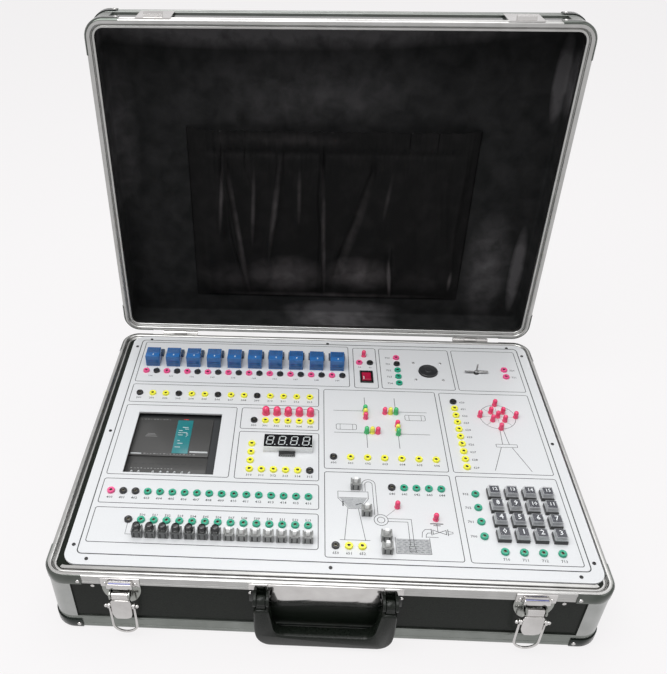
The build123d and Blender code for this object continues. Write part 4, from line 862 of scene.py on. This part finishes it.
# Valve and its pipes
sketch((99, 31), (99, 36), (105, 33.5), (111, 36), (111, 31), (105, 33.5), (99, 31), width=0.6)
sketch((97.6, 30), (97.6, 37), width=0.7)
sketch((112.6, 30), (112.6, 37), width=0.7)
sketch((113, 35), (117, 34), (117, 32.4), (113, 31.6), width=0.45)
sketch((103.5, 34), (103.5, 43))
sketch((98, 43.5), (109, 43.5), width=1.1)
sketch((100.6, 41.4), (106.4, 41.4), width=0.8)
sketch((88.4, 27), (89.2, 33), (92, 36.4), (97, 36.6))
sketch((92, 27), (92.4, 30), (94, 32.2), (97, 32.4))
sketch((92, 27.4), (103, 27.4))
# Leads from the sockets to the switches and the relays
for x in SWITCHES:
    stroke(bm, [(x, -126.5), (x, -119.4)], 0.4)
stroke(bm, [(-182.4, -118.8), (-182.4, -131.5), (-175.8, -131.5)], 0.4)
for x in RELAYS:
    for side in (-1, 1):
        stroke(bm, [(x + side * SOCKET_SPREAD, 110.4), (x + side * SOCKET_SPREAD, 114.4)], 0.4)
for corners in (
    [(14.5, 72.4), (40.5, 72.4), (33.6, 59.6), (23.4, 59.6)],
    [(64.6, 8), (94.6, 8), (94.6, 24.6), (64.6, 24.6)],
):
    fill = bm.faces.new([bm.verts.new((*tank(x, y), DECK + FILL_TOP)) for x, y in corners])
    fill.material_index = 1
bm.normal_update()
for face in bm.faces:
    if face.normal.z < 0:
        face.normal_flip()
piece("panel_print", bm, [ink, grey_ink], "base", slot="panel")

# Small printed numbers. Each socket has a number beside it, printed in the same ink as the lines;
# the numbers are plain counts.
digit_shapes = {}


def digit_shape(text, size):
    """The mesh of a number, drawn once for each text and size."""
    if (text, size) not in digit_shapes:
        letters = bpy.data.curves.new("number", "FONT")
        letters.body = text
        letters.size = size
        letters.align_x = "CENTER"
        letters.align_y = "CENTER"
        letters.resolution_u = 1
        letters.offset = size * 0.014
        holder = bpy.data.objects.new("number", letters)
        digit_shapes[text, size] = bpy.data.meshes.new_from_object(holder)
        bpy.data.objects.remove(holder)
    return digit_shapes[text, size]


def write_number(bm, text, x, y, z, size):
    """Lay a number flat at a place."""
    old = set(bm.verts)
    bm.from_mesh(digit_shape(text, size))
    bmesh.ops.translate(bm, vec=(x, y, z), verts=[v for v in bm.verts if v not in old])


bm = bmesh.new()
for x, y, count, step_x, step_y, size, first in (
    (-206.2, 59.4, 14, 14.6, 0.0, 4.0, 200),
    (-75.4, 19.2, 6, 12.0, 0.0, 4.0, 300),
    (-75.3, -53.0, 6, 12.0, 0.0, 4.0, 310),
    (-206.2, -87.8, 17, SWITCH_PITCH, 0.0, 4.0, 400),
    (-170.5, -108.4, 14, SWITCH_PITCH, 0.0, 3.8, 500),
    (8.5, -32.4, 7, 17.15, 0.0, 4.0, 600),
    (150.4, 66.0, 10, 0.0, -11.05, 4.0, 620),
    (64.0, -72.0, 5, 11.87, 0.0, 4.0, 640),
    (8.8, -144.2, 3, 11.9, 0.0, 4.0, 650),
    (134.0, -120.3, 4, 0.0, 17.0, 4.0, 700),
    (158.5, -144.8, 4, 16.7, 0.0, 4.0, 710),
    (74.4, 143.4, 5, 0.0, -11.8, 4.0, 720),
    (216.6, 125.2, 2, 0.0, -12.6, 4.0, 730),
    (40.8, 124.4, 2, 12.4, 0.0, 3.6, 10),
    (RELAYS[0], 98.2, 10, RELAY_PITCH, 0.0, 3.6, 100),
):
    for i in range(count):
        write_number(bm, str(first + i), x + i * step_x, y + i * step_y, DECK + INK_TOP, size)
piece("panel_numbers", bm, [ink], "base", slot="panel")

# Sockets. Round collars for 2 mm plugs, moulded in four colours, each with a plated sleeve in its
# hole; they are set into holes in the panel, in rows.


def plastic(name, colour, rough=0.28):
    """Glossy moulded plastic in one colour, a little uneven."""
    dark = tuple(channel * 0.86 for channel in colour)
    return finish(name, dark, colour, 700, (rough * 0.8, rough * 1.3), coat=0.15)


sleeve = finish("plated_sleeve", (0.16, 0.15, 0.12), (0.26, 0.25, 0.20), 900, (0.25, 0.4), metal=1.0)
socket_colours = [
    plastic("socket_black", (0.012, 0.012, 0.014)),
    plastic("socket_yellow", (0.93, 0.90, 0.06)),
    plastic("socket_green", (0.015, 0.36, 0.22)),
    plastic("socket_pink", (0.85, 0.09, 0.28)),
]
BLACK, YELLOW, GREEN, PINK = range(4)
socket_plan = [
    (x + side * SOCKET_SPREAD, 106.7, colour) for x in RELAYS for side, colour in ((-1, PINK), (1, BLACK))
]
for x, y, step_x, step_y, colours in (
    (40.8, 132.3, 12.4, 0.0, [PINK, BLACK]),
    (84.5, 143.4, 0.0, -11.8, [PINK, BLACK] + [GREEN] * 3),
    (207.4, 125.2, 0.0, -12.6, [PINK] * 2),
    (-206.2, 66.9, 14.6, 0.0, [BLACK, YELLOW, YELLOW] * 4 + [YELLOW] * 2),
    (-75.4, 26.7, 12.0, 0.0, [BLACK] + [YELLOW] * 5),
    (-75.3, -45.5, 12.0, 0.0, [YELLOW] * 5 + [BLACK]),
    (-75.3, -33.5, 0.0, 12.0, [YELLOW] * 3),
    (-206.2, -80.0, SWITCH_PITCH, 0.0, [PINK, BLACK, BLACK] + [GREEN] * 14),
    (-182.4, -115.0, SWITCH_PITCH, 0.0, [BLACK] + [GREEN] * 14),
    (8.5, -24.8, 17.15, 0.0, [BLACK] + [YELLOW] * 6),
    (140.8, 66.0, 0.0, -11.05, [BLACK] + [YELLOW] * 9),
    (64.0, -64.4, 11.87, 0.0, [BLACK] + [GREEN] * 4),
    (8.8, -136.5, 11.9, 0.0, [BLACK] + [YELLOW] * 2),
    (143.2, -120.3, 0.0, 17.0, [GREEN] * 4),
    (158.5, -137.0, 16.7, 0.0, [GREEN] * 4),
):
    socket_plan += [(x + i * step_x, y + i * step_y, colour) for i, colour in enumerate(colours)]
bm = bmesh.new()
turned(bm, [(3.75, 0), (3.75, 1.8), (3.45, 2.35), (2.6, 2.5), (1.7, 2.2), (1.5, 1.9)], 16)
turned(bm, [(1.5, 1.9), (1.15, 1.95), (1.05, 1.7), (1.05, 0.3), (0.0, 0.3)], 16, 4)
collar = bpy.data.meshes.new("collar")
bm.to_mesh(collar)
bm.free()
bm = bmesh.new()
for x, y, colour in socket_plan:
    old_verts, old_faces = len(bm.verts), len(bm.faces)
    bm.from_mesh(collar)
    bm.verts.ensure_lookup_table()
    bm.faces.ensure_lookup_table()
    bmesh.ops.translate(bm, vec=(x, y, DECK), verts=bm.verts[old_verts:])
    for face in bm.faces[old_faces:]:
        if face.material_index == 0:
            face.material_index = colour
piece("socket_collars", bm, socket_colours + [sleeve], "base", replaces=["sockets"])

# Lamps. Light-emitting diodes in coloured resin, cast with a flange that rests on the panel, their
# leads going down through it: five large ones, and small ones in the diagrams.
lamp_colours = [
    plastic("lamp_red", (0.88, 0.05, 0.17), 0.12),
    plastic("lamp_yellow", (0.85, 0.80, 0.08), 0.12),
    plastic("lamp_green", (0.04, 0.50, 0.16), 0.12),
]
SMALL, LARGE = (2.5, 8.6), (4.0, 10.0)
lamp_plan = [(-63.4 + 12.0 * i, 38.5, *LARGE, 0) for i in range(5)]
for x, y in ((46.6, 146.0), (67.5, -88.7), (101.8, -102.2), (TOWER_X, TOWER_Y)):
    lamp_plan.append((x, y, *SMALL, 0))
for reach, ways in (
    (TOWER_RING, ((1, 0), (-1, 0), (0, 1), (0, -1))),
    (6.4, ((-1, -1), (-1, 1), (1, -1), (1, 1))),
):
    lamp_plan += [(TOWER_X + reach * way_x, TOWER_Y + reach * way_y, *SMALL, 0) for way_x, way_y in ways]
for x, y, step_x, step_y, colours in (
    (43.7, 35.5, 0.0, 6.1, [0, 1, 2]),
    (64.7, 44.4, 5.95, 0.0, [0, 1, 2]),
    (76.6, 24.4, 0.0, -6.35, [0, 1, 2]),
    (43.7, 13.0, 5.9, 0.0, [2, 1, 0]),
):
    lamp_plan += [(x + i * step_x, y + i * step_y, *SMALL, colour) for i, colour in enumerate(colours)]
bm = bmesh.new()
for x, y, radius, height, colour in lamp_plan:
    angles = (0.0, 0.35, 0.7, 1.05, 1.35, math.pi / 2)
    dome = [(radius * math.cos(angle), height - radius + radius * math.sin(angle)) for angle in angles]
    flange = [(radius + 0.3, 0), (radius + 0.3, 1.0), (radius, 1.15)]
    turned(bm, flange + dome, 16, colour, (x, y, DECK))
piece("lamp_domes", bm, lamp_colours, "base", replaces=["indicator_lamps"])

# Relays. Sealed relays in blue moulded cases with ribbed tops stand on the panel, their pins going
# down through it; behind each is a low terminal bar.
relay_blue = plastic("relay_blue", (0.030, 0.145, 0.40), 0.2)
# Dark blue for the lines on each relay's front, and painted shade in the gaps and notches of its ribbed top
relay_lines_and_painted_shade = plastic("relay_lines_and_painted_shade_blue", (0.006, 0.028, 0.09), 0.3)
# A pale painted highlight on the front part of each relay's top
relay_painted_highlight = plastic("relay_painted_highlight_grey", (0.55, 0.62, 0.70), 0.3)
terminal_grey = plastic("terminal_dark", (0.06, 0.09, 0.14), 0.35)


def raised(bm, x, y, half_x, half_y, low, high, bevel=0.3, material=0, segments=2):
    """A block round a place on the panel, between two heights over it."""
    return block(
        bm, x - half_x, x + half_x, y - half_y, y + half_y, DECK + low, DECK + high, bevel, material, segments
    )


RELAY_Y, RELAY_TOP, TERMINAL_Y = 125.2, 14.4, 140.0
bm = bmesh.new()
for x in RELAYS:
    raised(bm, x, RELAY_Y, 8, 9, 0, RELAY_TOP, 0.5)
    for rib in range(5):
        y = RELAY_Y - 1.8 + rib * 2.1
        raised(bm, x, y, 7.0, 0.5, RELAY_TOP - 0.1, RELAY_TOP + 0.6, 0.15, 0, 1)
        # Painted shade: a dark strip on the floor of the gap behind each rib
        raised(bm, x, y + 1.025, 6.8, 0.475, RELAY_TOP - 0.1, RELAY_TOP + 0.05, 0, 3)
    # Painted shade in the notches at the back of the top
    for bar in (-5.2, -1.6, 1.9, 5.4):
        raised(bm, x + bar, RELAY_Y + 4.8, 0.45, 3.2, RELAY_TOP - 0.1, RELAY_TOP + 0.3, 0, 3)
    # The painted highlight on the top
    raised(bm, x + 0.85, RELAY_Y - 4.9, 0.65, 1.3, RELAY_TOP - 0.02, RELAY_TOP + 0.1, 0, 1)
    for line in (2.4, 5.0, 7.6):
        raised(bm, x, RELAY_Y - 8.94, 6.2, 0.14, line, line + 0.35, 0, 3)
    raised(bm, x, TERMINAL_Y, 9.5, 5.0, 0, 4.0, 0.3, 2)
    for side in (-1, 0, 1):
        raised(bm, x + side * 5.6, TERMINAL_Y, 1.4, 1.4, 3.9, 4.0, 0, 1)
piece("relay_blocks", bm, [relay_blue, relay_painted_highlight, terminal_grey, relay_lines_and_painted_shade], "base", replaces=["relays"])

# Push switches. Latching switches moulded in grey, with raised side walls beside a square white
# plunger; seven of them carry a round fluted black cap, and four stand in the tank diagram.
switch_grey = plastic("switch_grey", (0.13, 0.135, 0.135), 0.3)
switch_pale = plastic("switch_pale_grey", (0.27, 0.275, 0.27), 0.3)
cap_black = plastic("cap_black", (0.014, 0.014, 0.015), 0.24)
plunger_white = plastic("plunger_white", (0.92, 0.92, 0.91), 0.3)
SWITCH_Y = -131.5
CAP_FOOT, FLUTES = 7.6 + 1.6 + 1.5 + 0.05, 14
level_places = ((29.1, -64.9), (38.2, -97.5), (54.5, -126.6), (54.5, -140.2))
bm = bmesh.new()
body_plan = [(x, SWITCH_Y, 0 if i < 7 else 1) for i, x in enumerate(SWITCHES)]
for x, y, tone in body_plan + [(x, y, 1) for x, y in level_places]:
    for side in (-1, 1):
        raised(bm, x + side * 4.05, y, 0.75, 4, 0, 9.2, 0.25, tone)
        raised(bm, x + side * 2.55, y, 0.75, 3.9, 0, 7.6, 0.15, tone, 1)
        raised(bm, x, y + side * 2.9, 1.85, 1.0, 0, 7.6, 0.15, tone, 1)
        slot_x = x + side * 2.4
        block(bm, slot_x - 0.6, slot_x + 0.6, y - 4.05, y - 3.8, DECK + 0.8, DECK + 6.4, 0.1, 2, 1)
piece("push_switch_bodies", bm, [switch_grey, switch_pale, cap_black], "base", replaces=["switch_bodies"])
cap_section = [
    (0.0, 0.0), (3.75, 0.0), (3.9, 0.25), (3.45, 2.9), (3.1, 3.7), (2.3, 4.05), (1.2, 4.2), (0.0, 4.2),
]
for i, x in enumerate(SWITCHES[:7]):
    bm = bmesh.new()
    raised(bm, x, SWITCH_Y, 1.7, 1.7, 3.6, CAP_FOOT + 0.5, 0.15, 1, 1)
    verts = turned(bm, cap_section, 56)
    for vert in verts:
        if math.hypot(vert.co.x, vert.co.y) > 3.0:
            angle = math.atan2(vert.co.y, vert.co.x)
            dent = 0.94 + 0.06 * (0.5 + 0.5 * math.cos(FLUTES * angle))
            vert.co.x *= dent
            vert.co.y *= dent
    bmesh.ops.translate(bm, vec=(x, SWITCH_Y, DECK + CAP_FOOT), verts=verts)
    body = f"push_button_{i + 1}"
    piece(f"push_cap_{i + 1}", bm, [cap_black, plunger_white], body, replaces=[body])
plunger_plan = [(f"plunger_{i + 1}", x, SWITCH_Y) for i, x in enumerate(SWITCHES[7:])]
plunger_plan += [(f"level_plunger_{i + 1}", x, y) for i, (x, y) in enumerate(level_places)]
for name, x, y in plunger_plan:
    bm = bmesh.new()
    raised(bm, x, y, 1.7, 1.7, 3.6, 13.2)
    piece(f"{name}_stem", bm, [plunger_white], name, replaces=[name])

# Keypad. Sixteen tactile switches with dark housings; each has a clear tapered cap, clipped over a
# dark insert that carries a white number.
housing_black = plastic("key_housing_black", (0.012, 0.012, 0.013), 0.3)
key_insert = plastic("key_insert_black", (0.012, 0.013, 0.022), 0.35)
number_white = plastic("number_white", (0.80, 0.82, 0.84), 0.4)


def see_through(name, colour, share):
    """Clear plastic that hides only a share of what is behind it."""
    made = plastic(name, colour, 0.12)
    made.node_tree.nodes["Principled BSDF"].inputs["Alpha"].default_value = share
    return made


clear_top = see_through("clear_cap_top", (0.62, 0.65, 0.72), 0.06)
# The same clear plastic, paler and less clear on the caps' sides: a painted highlight
clear_side_painted_highlight = see_through("clear_cap_side_painted_highlight", (0.95, 0.97, 1.0), 0.38)
key_places = [(160.2 + 16.65 * i, -120.2 + 17.0 * j) for j in range(4) for i in range(4)]
bm = bmesh.new()
for x, y in key_places:
    raised(bm, x, y, 6, 6, 0, 3.4, 0.2, 0, 1)
    raised(bm, x, y, 5.6, 5.6, 3.3, 3.9, 0.1, 1, 1)
    for side in (-1, 1):
        for end in (-1, 1):
            stud = [(0.8, 0), (0.8, 0.3), (0.5, 0.5), (0, 0.5)]
            turned(bm, stud, 10, 0, (x + side * 4.6, y + end * 4.6, DECK + 3.6))
piece("key_housings", bm, [housing_black, switch_grey], "base", slot="key_plastic")
for index, (x, y) in enumerate(key_places):
    bm = bmesh.new()
    for vert in block(bm, x - 6, x + 6, y - 6, y + 6, 0.0, 4.4, 0):
        if vert.co.z > 2.0:
            vert.co.x = x + (vert.co.x - x) * 0.82
            vert.co.y = y + (vert.co.y - y) * 0.82
    bmesh.ops.bevel(bm, geom=bm.edges[:], offset=0.35, segments=2, profile=0.5, affect="EDGES", material=-1)
    bm.normal_update()
    # Tops take the clear plastic, and the sides take the paler copy with its painted highlight
    for face in bm.faces:
        face.material_index = 0 if face.normal.z > 0.95 else 3
    bmesh.ops.translate(bm, vec=(0, 0, DECK + 4.6), verts=bm.verts)
    raised(bm, x, y, 4.4, 4.4, 4.9, 8.3, 0.2, 1, 1)
    raised(bm, x, y, 1.7, 1.7, 0.5, 5.1, 0.15, 1, 1)
    old = set(bm.faces)
    write_number(bm, str(index), x, y, DECK + 9.03, 7.6 if index < 10 else 5.6)
    for face in bm.faces:
        if face not in old:
            face.material_index = 2
    key_finishes = [clear_top, key_insert, number_white, clear_side_painted_highlight]
    piece(f"key_cap_{index}", bm, key_finishes, f"key_{index}", replaces=[f"key_{index}"])

# Rocker switch. A mains rocker of glossy red plastic, pivoted in a black frame that snaps into the
# panel; one end carries a white mark.
rocker_red = plastic("rocker_red", (0.42, 0.012, 0.05), 0.16)
ROCKER_X, ROCKER_Y, ROCKER_PIVOT = 48.1, 106.2, 72.6
TILT = math.radians(7.0)
bm = bmesh.new()
for side in (-1, 1):
    raised(bm, ROCKER_X + side * 6.5, ROCKER_Y, 1, 10.5, 0, 1.8, 0.4)
    raised(bm, ROCKER_X, ROCKER_Y + side * 9.5, 7.5, 1, 0, 1.8, 0.4)
    raised(bm, ROCKER_X + side * 6.0, ROCKER_Y, 0.4, 8.9, -10, 0.4, 0.1, 0, 1)
    raised(bm, ROCKER_X, ROCKER_Y + side * 9.1, 6.3, 0.4, -10, 0.4, 0.1, 0, 1)
piece("rocker_frame", bm, [cap_black], "base", slot="rocker_plastic")


def rocked(y, z):
    """A place on the rocker, seen from its side, tilted about its pivot."""
    sine, cosine = math.sin(TILT), math.cos(TILT)
    return ROCKER_Y + y * cosine + z * sine, ROCKER_PIVOT + z * cosine - y * sine


outline = [(-8.0, 2.6), (-4.0, 1.55), (0.0, 1.2), (4.0, 1.55), (8.0, 2.6), (6.7, -4.0), (-6.7, -4.0)]
bm = bmesh.new()
face = bm.faces.new([bm.verts.new((ROCKER_X - 5.25, *rocked(y, z))) for y, z in outline])
grown = bmesh.ops.extrude_face_region(bm, geom=[face])["geom"]
bmesh.ops.translate(bm, vec=(10.5, 0, 0), verts=verts_in(grown))
bmesh.ops.recalc_face_normals(bm, faces=bm.faces)
bmesh.ops.bevel(bm, geom=bm.edges[:], offset=0.45, segments=3, profile=0.5, affect="EDGES", material=-1)
for vert in block(bm, ROCKER_X - 3.6, ROCKER_X - 2.7, -3.4, 3.4, 1.62, 1.72, 0, 1):
    vert.co.y, vert.co.z = rocked(vert.co.y - 3.0, vert.co.z + 0.2)
piece("rocker_cap", bm, [rocker_red, number_white], "rocker", replaces=["rocker"], flat_angle=50.0)

# Stepper motor and dial. Two steel motors hang under the panel. On the shaft of the first, a stepper
# motor held by four screws, a black moulded dial with a raised rim is pressed.
dark_steel = finish("dark_steel", (0.02, 0.02, 0.02), (0.05, 0.05, 0.05), 900, (0.3, 0.5), metal=0.6)
dress("motors", dark_steel)
dial_grey = plastic("dial_dark_grey", (0.022, 0.023, 0.025), 0.45)
DIAL_X, DIAL_Y = 119.6, 119.2
bm = bmesh.new()
dial_section = [
    (0, 0.9), (10.4, 0.9), (10.75, 1.1), (10.75, 2.1), (10.4, 2.4), (8.6, 2.4), (8.3, 2.2), (3.4, 2.2),
    (3.1, 2.5), (2.5, 2.5), (2.3, 2.1), (0, 2.1),
]
turned(bm, dial_section, 48, 0, (DIAL_X, DIAL_Y, DECK))
turned(bm, [(0, 0.95), (2.5, 0.95), (2.5, -11.0), (0, -11.0)], 24, 0, (DIAL_X, DIAL_Y, DECK))
block(bm, DIAL_X - 0.35, DIAL_X + 0.35, DIAL_Y + 4.2, DIAL_Y + 9.6, DECK + 2.15, DECK + 2.3, 0)
piece("stepper_dial_disc", bm, [dial_grey], "stepper_dial", replaces=["stepper_dial"])

# Screws. Small pan-head machine screws of steel: four bright ones hold the stepper motor, and twelve
# dark ones near the panel's edge hold it to the ledge.
steel = finish("screw_steel", (0.35, 0.35, 0.35), (0.55, 0.55, 0.55), 900, (0.2, 0.4), metal=1.0)
PANEL_X, PANEL_Y = (-231.6, 239.7), (-166.4, 174.7)
SCREW_EDGE, SCREW_CORNER, SCREW_SQUARE = 6, 21, 31.0


def screw_row(low, high):
    """Places of the three screws along one side."""
    return low + SCREW_CORNER, (low + high) / 2, high - SCREW_CORNER


screw_plan = [
    (x, y) for x in (PANEL_X[0] + SCREW_EDGE, PANEL_X[1] - SCREW_EDGE) for y in screw_row(*PANEL_Y)
] + [
    (x, y) for y in (PANEL_Y[0] + SCREW_EDGE, PANEL_Y[1] - SCREW_EDGE) for x in screw_row(*PANEL_X)
]
bm = bmesh.new()
motor_screw = [(1.6, 0), (1.6, 0.5), (1.2, 0.9), (0.5, 0.9), (0.5, 0.5), (0, 0.5)]
for side in (-1, 1):
    for end in (-1, 1):
        place = DIAL_X + side * SCREW_SQUARE / 2, DIAL_Y + end * SCREW_SQUARE / 2, DECK
        turned(bm, motor_screw, 14, 0, place)
panel_screw = [(1.7, 0), (1.65, 0.5), (1.3, 0.8), (0.7, 0.85), (0.6, 0.4), (0, 0.4)]
for x, y in screw_plan:
    turned(bm, panel_screw, 14, 1, (x, y, DECK))
piece("screw_heads", bm, [steel, dark_steel], "base", replaces=["panel_screws"])

# Propeller. Two twisted blades of thin grey metal on a round hub, which is pushed on the shaft of the
# second motor.
propeller_steel = finish(
    "propeller_grey", (0.22, 0.22, 0.22), (0.36, 0.36, 0.36), 600, (0.3, 0.45), metal=0.4
)
PROP_X, PROP_Y, HUB = 174.7, 119.1, 74.7
BLADE_ROOT, BLADE_TIP = 1.6, 13.4
bm = bmesh.new()
hub_section = [
    (0, HUB), (2.0, HUB), (2.2, HUB + 0.3), (2.2, HUB + 2.1), (1.7, HUB + 2.6), (1.0, HUB + 2.6),
    (0.95, 85.4), (0.6, 86.3), (0, 86.3),
]
turned(bm, hub_section, 24, 0, (PROP_X, PROP_Y, 0))
turned(bm, [(1.0, HUB + 0.1), (1.0, HUB - 9.6), (0, HUB - 9.6)], 16, 0, (PROP_X, PROP_Y, 0))
for side in (-1, 1):
    verts = block(bm, BLADE_ROOT, BLADE_TIP, -2.1, 2.1, -0.35, 0.35, 0.25)
    for vert in verts:
        share = (vert.co.x - BLADE_ROOT) / (BLADE_TIP - BLADE_ROOT)
        chord = 0.72 + 0.5 * math.sin(share * math.pi) - 0.1 * share
        turn = math.radians(26.0 - 14.0 * share)
        y = vert.co.y * chord
        vert.co.y = y * math.cos(turn) - vert.co.z * math.sin(turn)
        vert.co.z = y * math.sin(turn) + vert.co.z * math.cos(turn)
    half_turn = Matrix.Rotation(math.pi if side < 0 else 0.0, 4, "Z")
    bmesh.ops.transform(bm, matrix=Matrix.Translation((PROP_X, PROP_Y, HUB + 1.3)) @ half_turn, verts=verts)
piece("propeller_blades", bm, [propeller_steel], "propeller", replaces=["propeller"])

# Display. Four seven-bar digits in a white moulded block with a black face and pale unlit bars, its
# pins going down through the panel; in front of it is its driver chip.
display_white = plastic("display_white", (0.90, 0.91, 0.92), 0.35)
display_black = plastic("display_black", (0.012, 0.012, 0.014), 0.2)
segment_pale = plastic("segment_pale", (0.55, 0.58, 0.58), 0.35)
DISPLAY_X, DISPLAY_Y = -37.8, -10.95
CHIP_X, CHIP_Y = -38.7, -23.4
SLANT = 0.14
bm = bmesh.new()
raised(bm, DISPLAY_X, DISPLAY_Y, 25.1, 9.35, 0, 7.7)
raised(bm, DISPLAY_X, DISPLAY_Y, 24.7, 9.0, 7.6, 8.0, 0.12, 1, 1)
for digit in range(4):
    middle = DISPLAY_X + (digit - 1.5) * 12.3
    for bar_x, bar_y, wide, tall in (
        (0, 5.9, 5.0, 1.1), (0, 0, 5.0, 1.1), (0, -5.9, 5.0, 1.1),
        (-3.1, 2.95, 1.1, 4.8), (3.1, 2.95, 1.1, 4.8), (-3.1, -2.95, 1.1, 4.8), (3.1, -2.95, 1.1, 4.8),
    ):
        verts = raised(bm, 0, 0, wide / 2, tall / 2, 7.98, 8.05, 0, 2)
        across = middle + bar_x + (bar_y * SLANT)
        slanted = Matrix(((1, SLANT, 0, across), (0, 1, 0, DISPLAY_Y + bar_y), (0, 0, 1, 0), (0, 0, 0, 1)))
        bmesh.ops.transform(bm, matrix=slanted, verts=verts)
    turned(bm, [(0.7, 0), (0.7, 0.06), (0, 0.06)], 12, 2, (middle + 4.9, DISPLAY_Y - 6.1, DECK + 7.99))
raised(bm, CHIP_X, CHIP_Y, 8.25, 2.9, 0, 2.6, 0.25, 1)
for pin in range(8):
    for side in (-1, 1):
        raised(bm, CHIP_X - 6.4 + pin * 1.82, CHIP_Y + side * 3.1, 0.3, 0.4, 0, 1.6, 0, 2)
piece("display_block", bm, [display_white, display_black, segment_pale], "base", replaces=["display"])

# Controller. A ready-made unit in a dark grey moulded case, clipped to a rail below the panel's
# window, with pale marks, terminal slots along its front, and the ends of leads in them.
plc_grey = plastic("controller_grey", (0.047, 0.047, 0.046), 0.5)
plc_dark = plastic("controller_dark", (0.030, 0.032, 0.034), 0.45)
plc_teal = plastic("controller_teal", (0.02, 0.20, 0.22), 0.3)
plc_white = plastic("controller_white", (0.60, 0.62, 0.63), 0.4)
plc_red = plastic("controller_red", (0.60, 0.03, 0.03), 0.4)
plc_text = plastic("controller_marks", (0.22, 0.22, 0.22), 0.4)
TEAL, WHITE, RED, DARK, GREY, MARKS = range(6)
LEFT, RIGHT, BOTTOM, TOP, STRIP_TOP = -206.0, -119.5, 14.8, 68.0, 66.4
bm = bmesh.new()
block(bm, LEFT, RIGHT, -24.8, 32.6, BOTTOM, TOP, 0.2, GREY)
block(bm, LEFT, RIGHT, -46.9, -24.9, BOTTOM, STRIP_TOP, 0.3, GREY)
block(bm, -157.6, -141.0, -21.0, 29.4, TOP - 0.3, TOP + 0.4, 0.2, TEAL)
# Pale marks on the teal label; a tall one is three short lines
for bar, (x0, x1, y0, y1) in enumerate((
    (-154.8, -149.6, 6.0, 16.2), (-148.4, -143.6, 15.2, 16.6), (-153.6, -147.0, -6.6, -5.4),
    (-146.2, -143.6, 4.0, 10.0), (-151.4, -144.6, 17.8, 18.4), (-155.6, -149.0, -12.2, -11.6),
    (-152.0, -143.8, 9.6, 10.1), (-154.0, -151.6, -2.6, -1.2),
)):
    for line in range(3 if y1 - y0 > 3 else 1):
        y = y0 + ((y1 - y0) / 3 * line if y1 - y0 > 3 else 0.0)
        block(bm, x0, x1 - 0.6 * (bar + line) % 2, y, y + 0.8, TOP + 0.38, TOP + 0.46, 0, WHITE)
block(bm, -151.8, -146.6, 30.4, 31.4, TOP - 0.1, TOP + 0.3, 0.1, RED, 1)
block(bm, -139.2, -120.6, -19.6, -17.6, TOP - 0.2, TOP + 0.6, 0.2, WHITE)
for row, (y, start_x, stop_x, level) in enumerate((
    (29.6, -198.0, -162.0, TOP), (-22.6, -200.0, -130.0, TOP), (-42.0, -196.0, -150.0, STRIP_TOP),
)):
    for spot in range(int((stop_x - start_x) / 3.4)):
        x = start_x + spot * 3.4
        tall = 0.5 + 0.3 * ((spot * 7 + row) % 3)
        block(bm, x, x + 1.6 + (spot * 5 % 3) * 0.4, y, y + tall, level - 0.1, level + 0.05, 0, MARKS)
block(bm, -199.6, -188.6, -22.8, -21.6, TOP - 0.1, TOP + 0.08, 0, WHITE)
for line in range(3):
    y = 3.4 + line * 2.0
    block(bm, -189.0 + line * 0.8, -176.5 - line * 1.4, y, y + 0.7, TOP - 0.1, TOP + 0.06, 0, MARKS)
for slit in range(10):
    x = -203.0 + slit * 8.3
    block(bm, x, x + 5.0, -35.4, -34.8, STRIP_TOP - 0.2, STRIP_TOP + 0.06, 0, DARK)
# Dark card round the controller, below the window
for x0, x1, y0, y1 in (
    (-214.0, -206.2, -60.0, 47.0), (-119.3, -105.0, -60.0, 47.0),
    (-206.2, -119.3, 33.0, 47.0), (-206.2, -119.3, -60.0, -47.2),
):
    block(bm, x0, x1, y0, y1, 66.0, 66.6, 0, DARK)
# Ends of the leads at the front terminals
for x in (-194.6, -187.4, -173.0, -165.5, -158.4, -151.4, -143.9, -136.6):
    verts = turned(bm, [(0, 0), (1.0, 0), (1.25, 3.6), (0.7, 5.0), (0, 5.0)], 10, WHITE)
    lay = Matrix.Translation((x, -49.6, 66.4)) @ Matrix.Rotation(math.radians(24.0), 4, "Y")
    bmesh.ops.transform(bm, matrix=lay, verts=verts)
plc_finishes = [plc_teal, plc_white, plc_red, plc_dark, plc_grey, plc_text]
piece("controller", bm, plc_finishes, "base", replaces=["plc_unit"])

# Mains inlet. An appliance inlet of black moulded plastic with three flat pins, set into an opening
# in the back board.
dress("mains_inlet", cap_black)
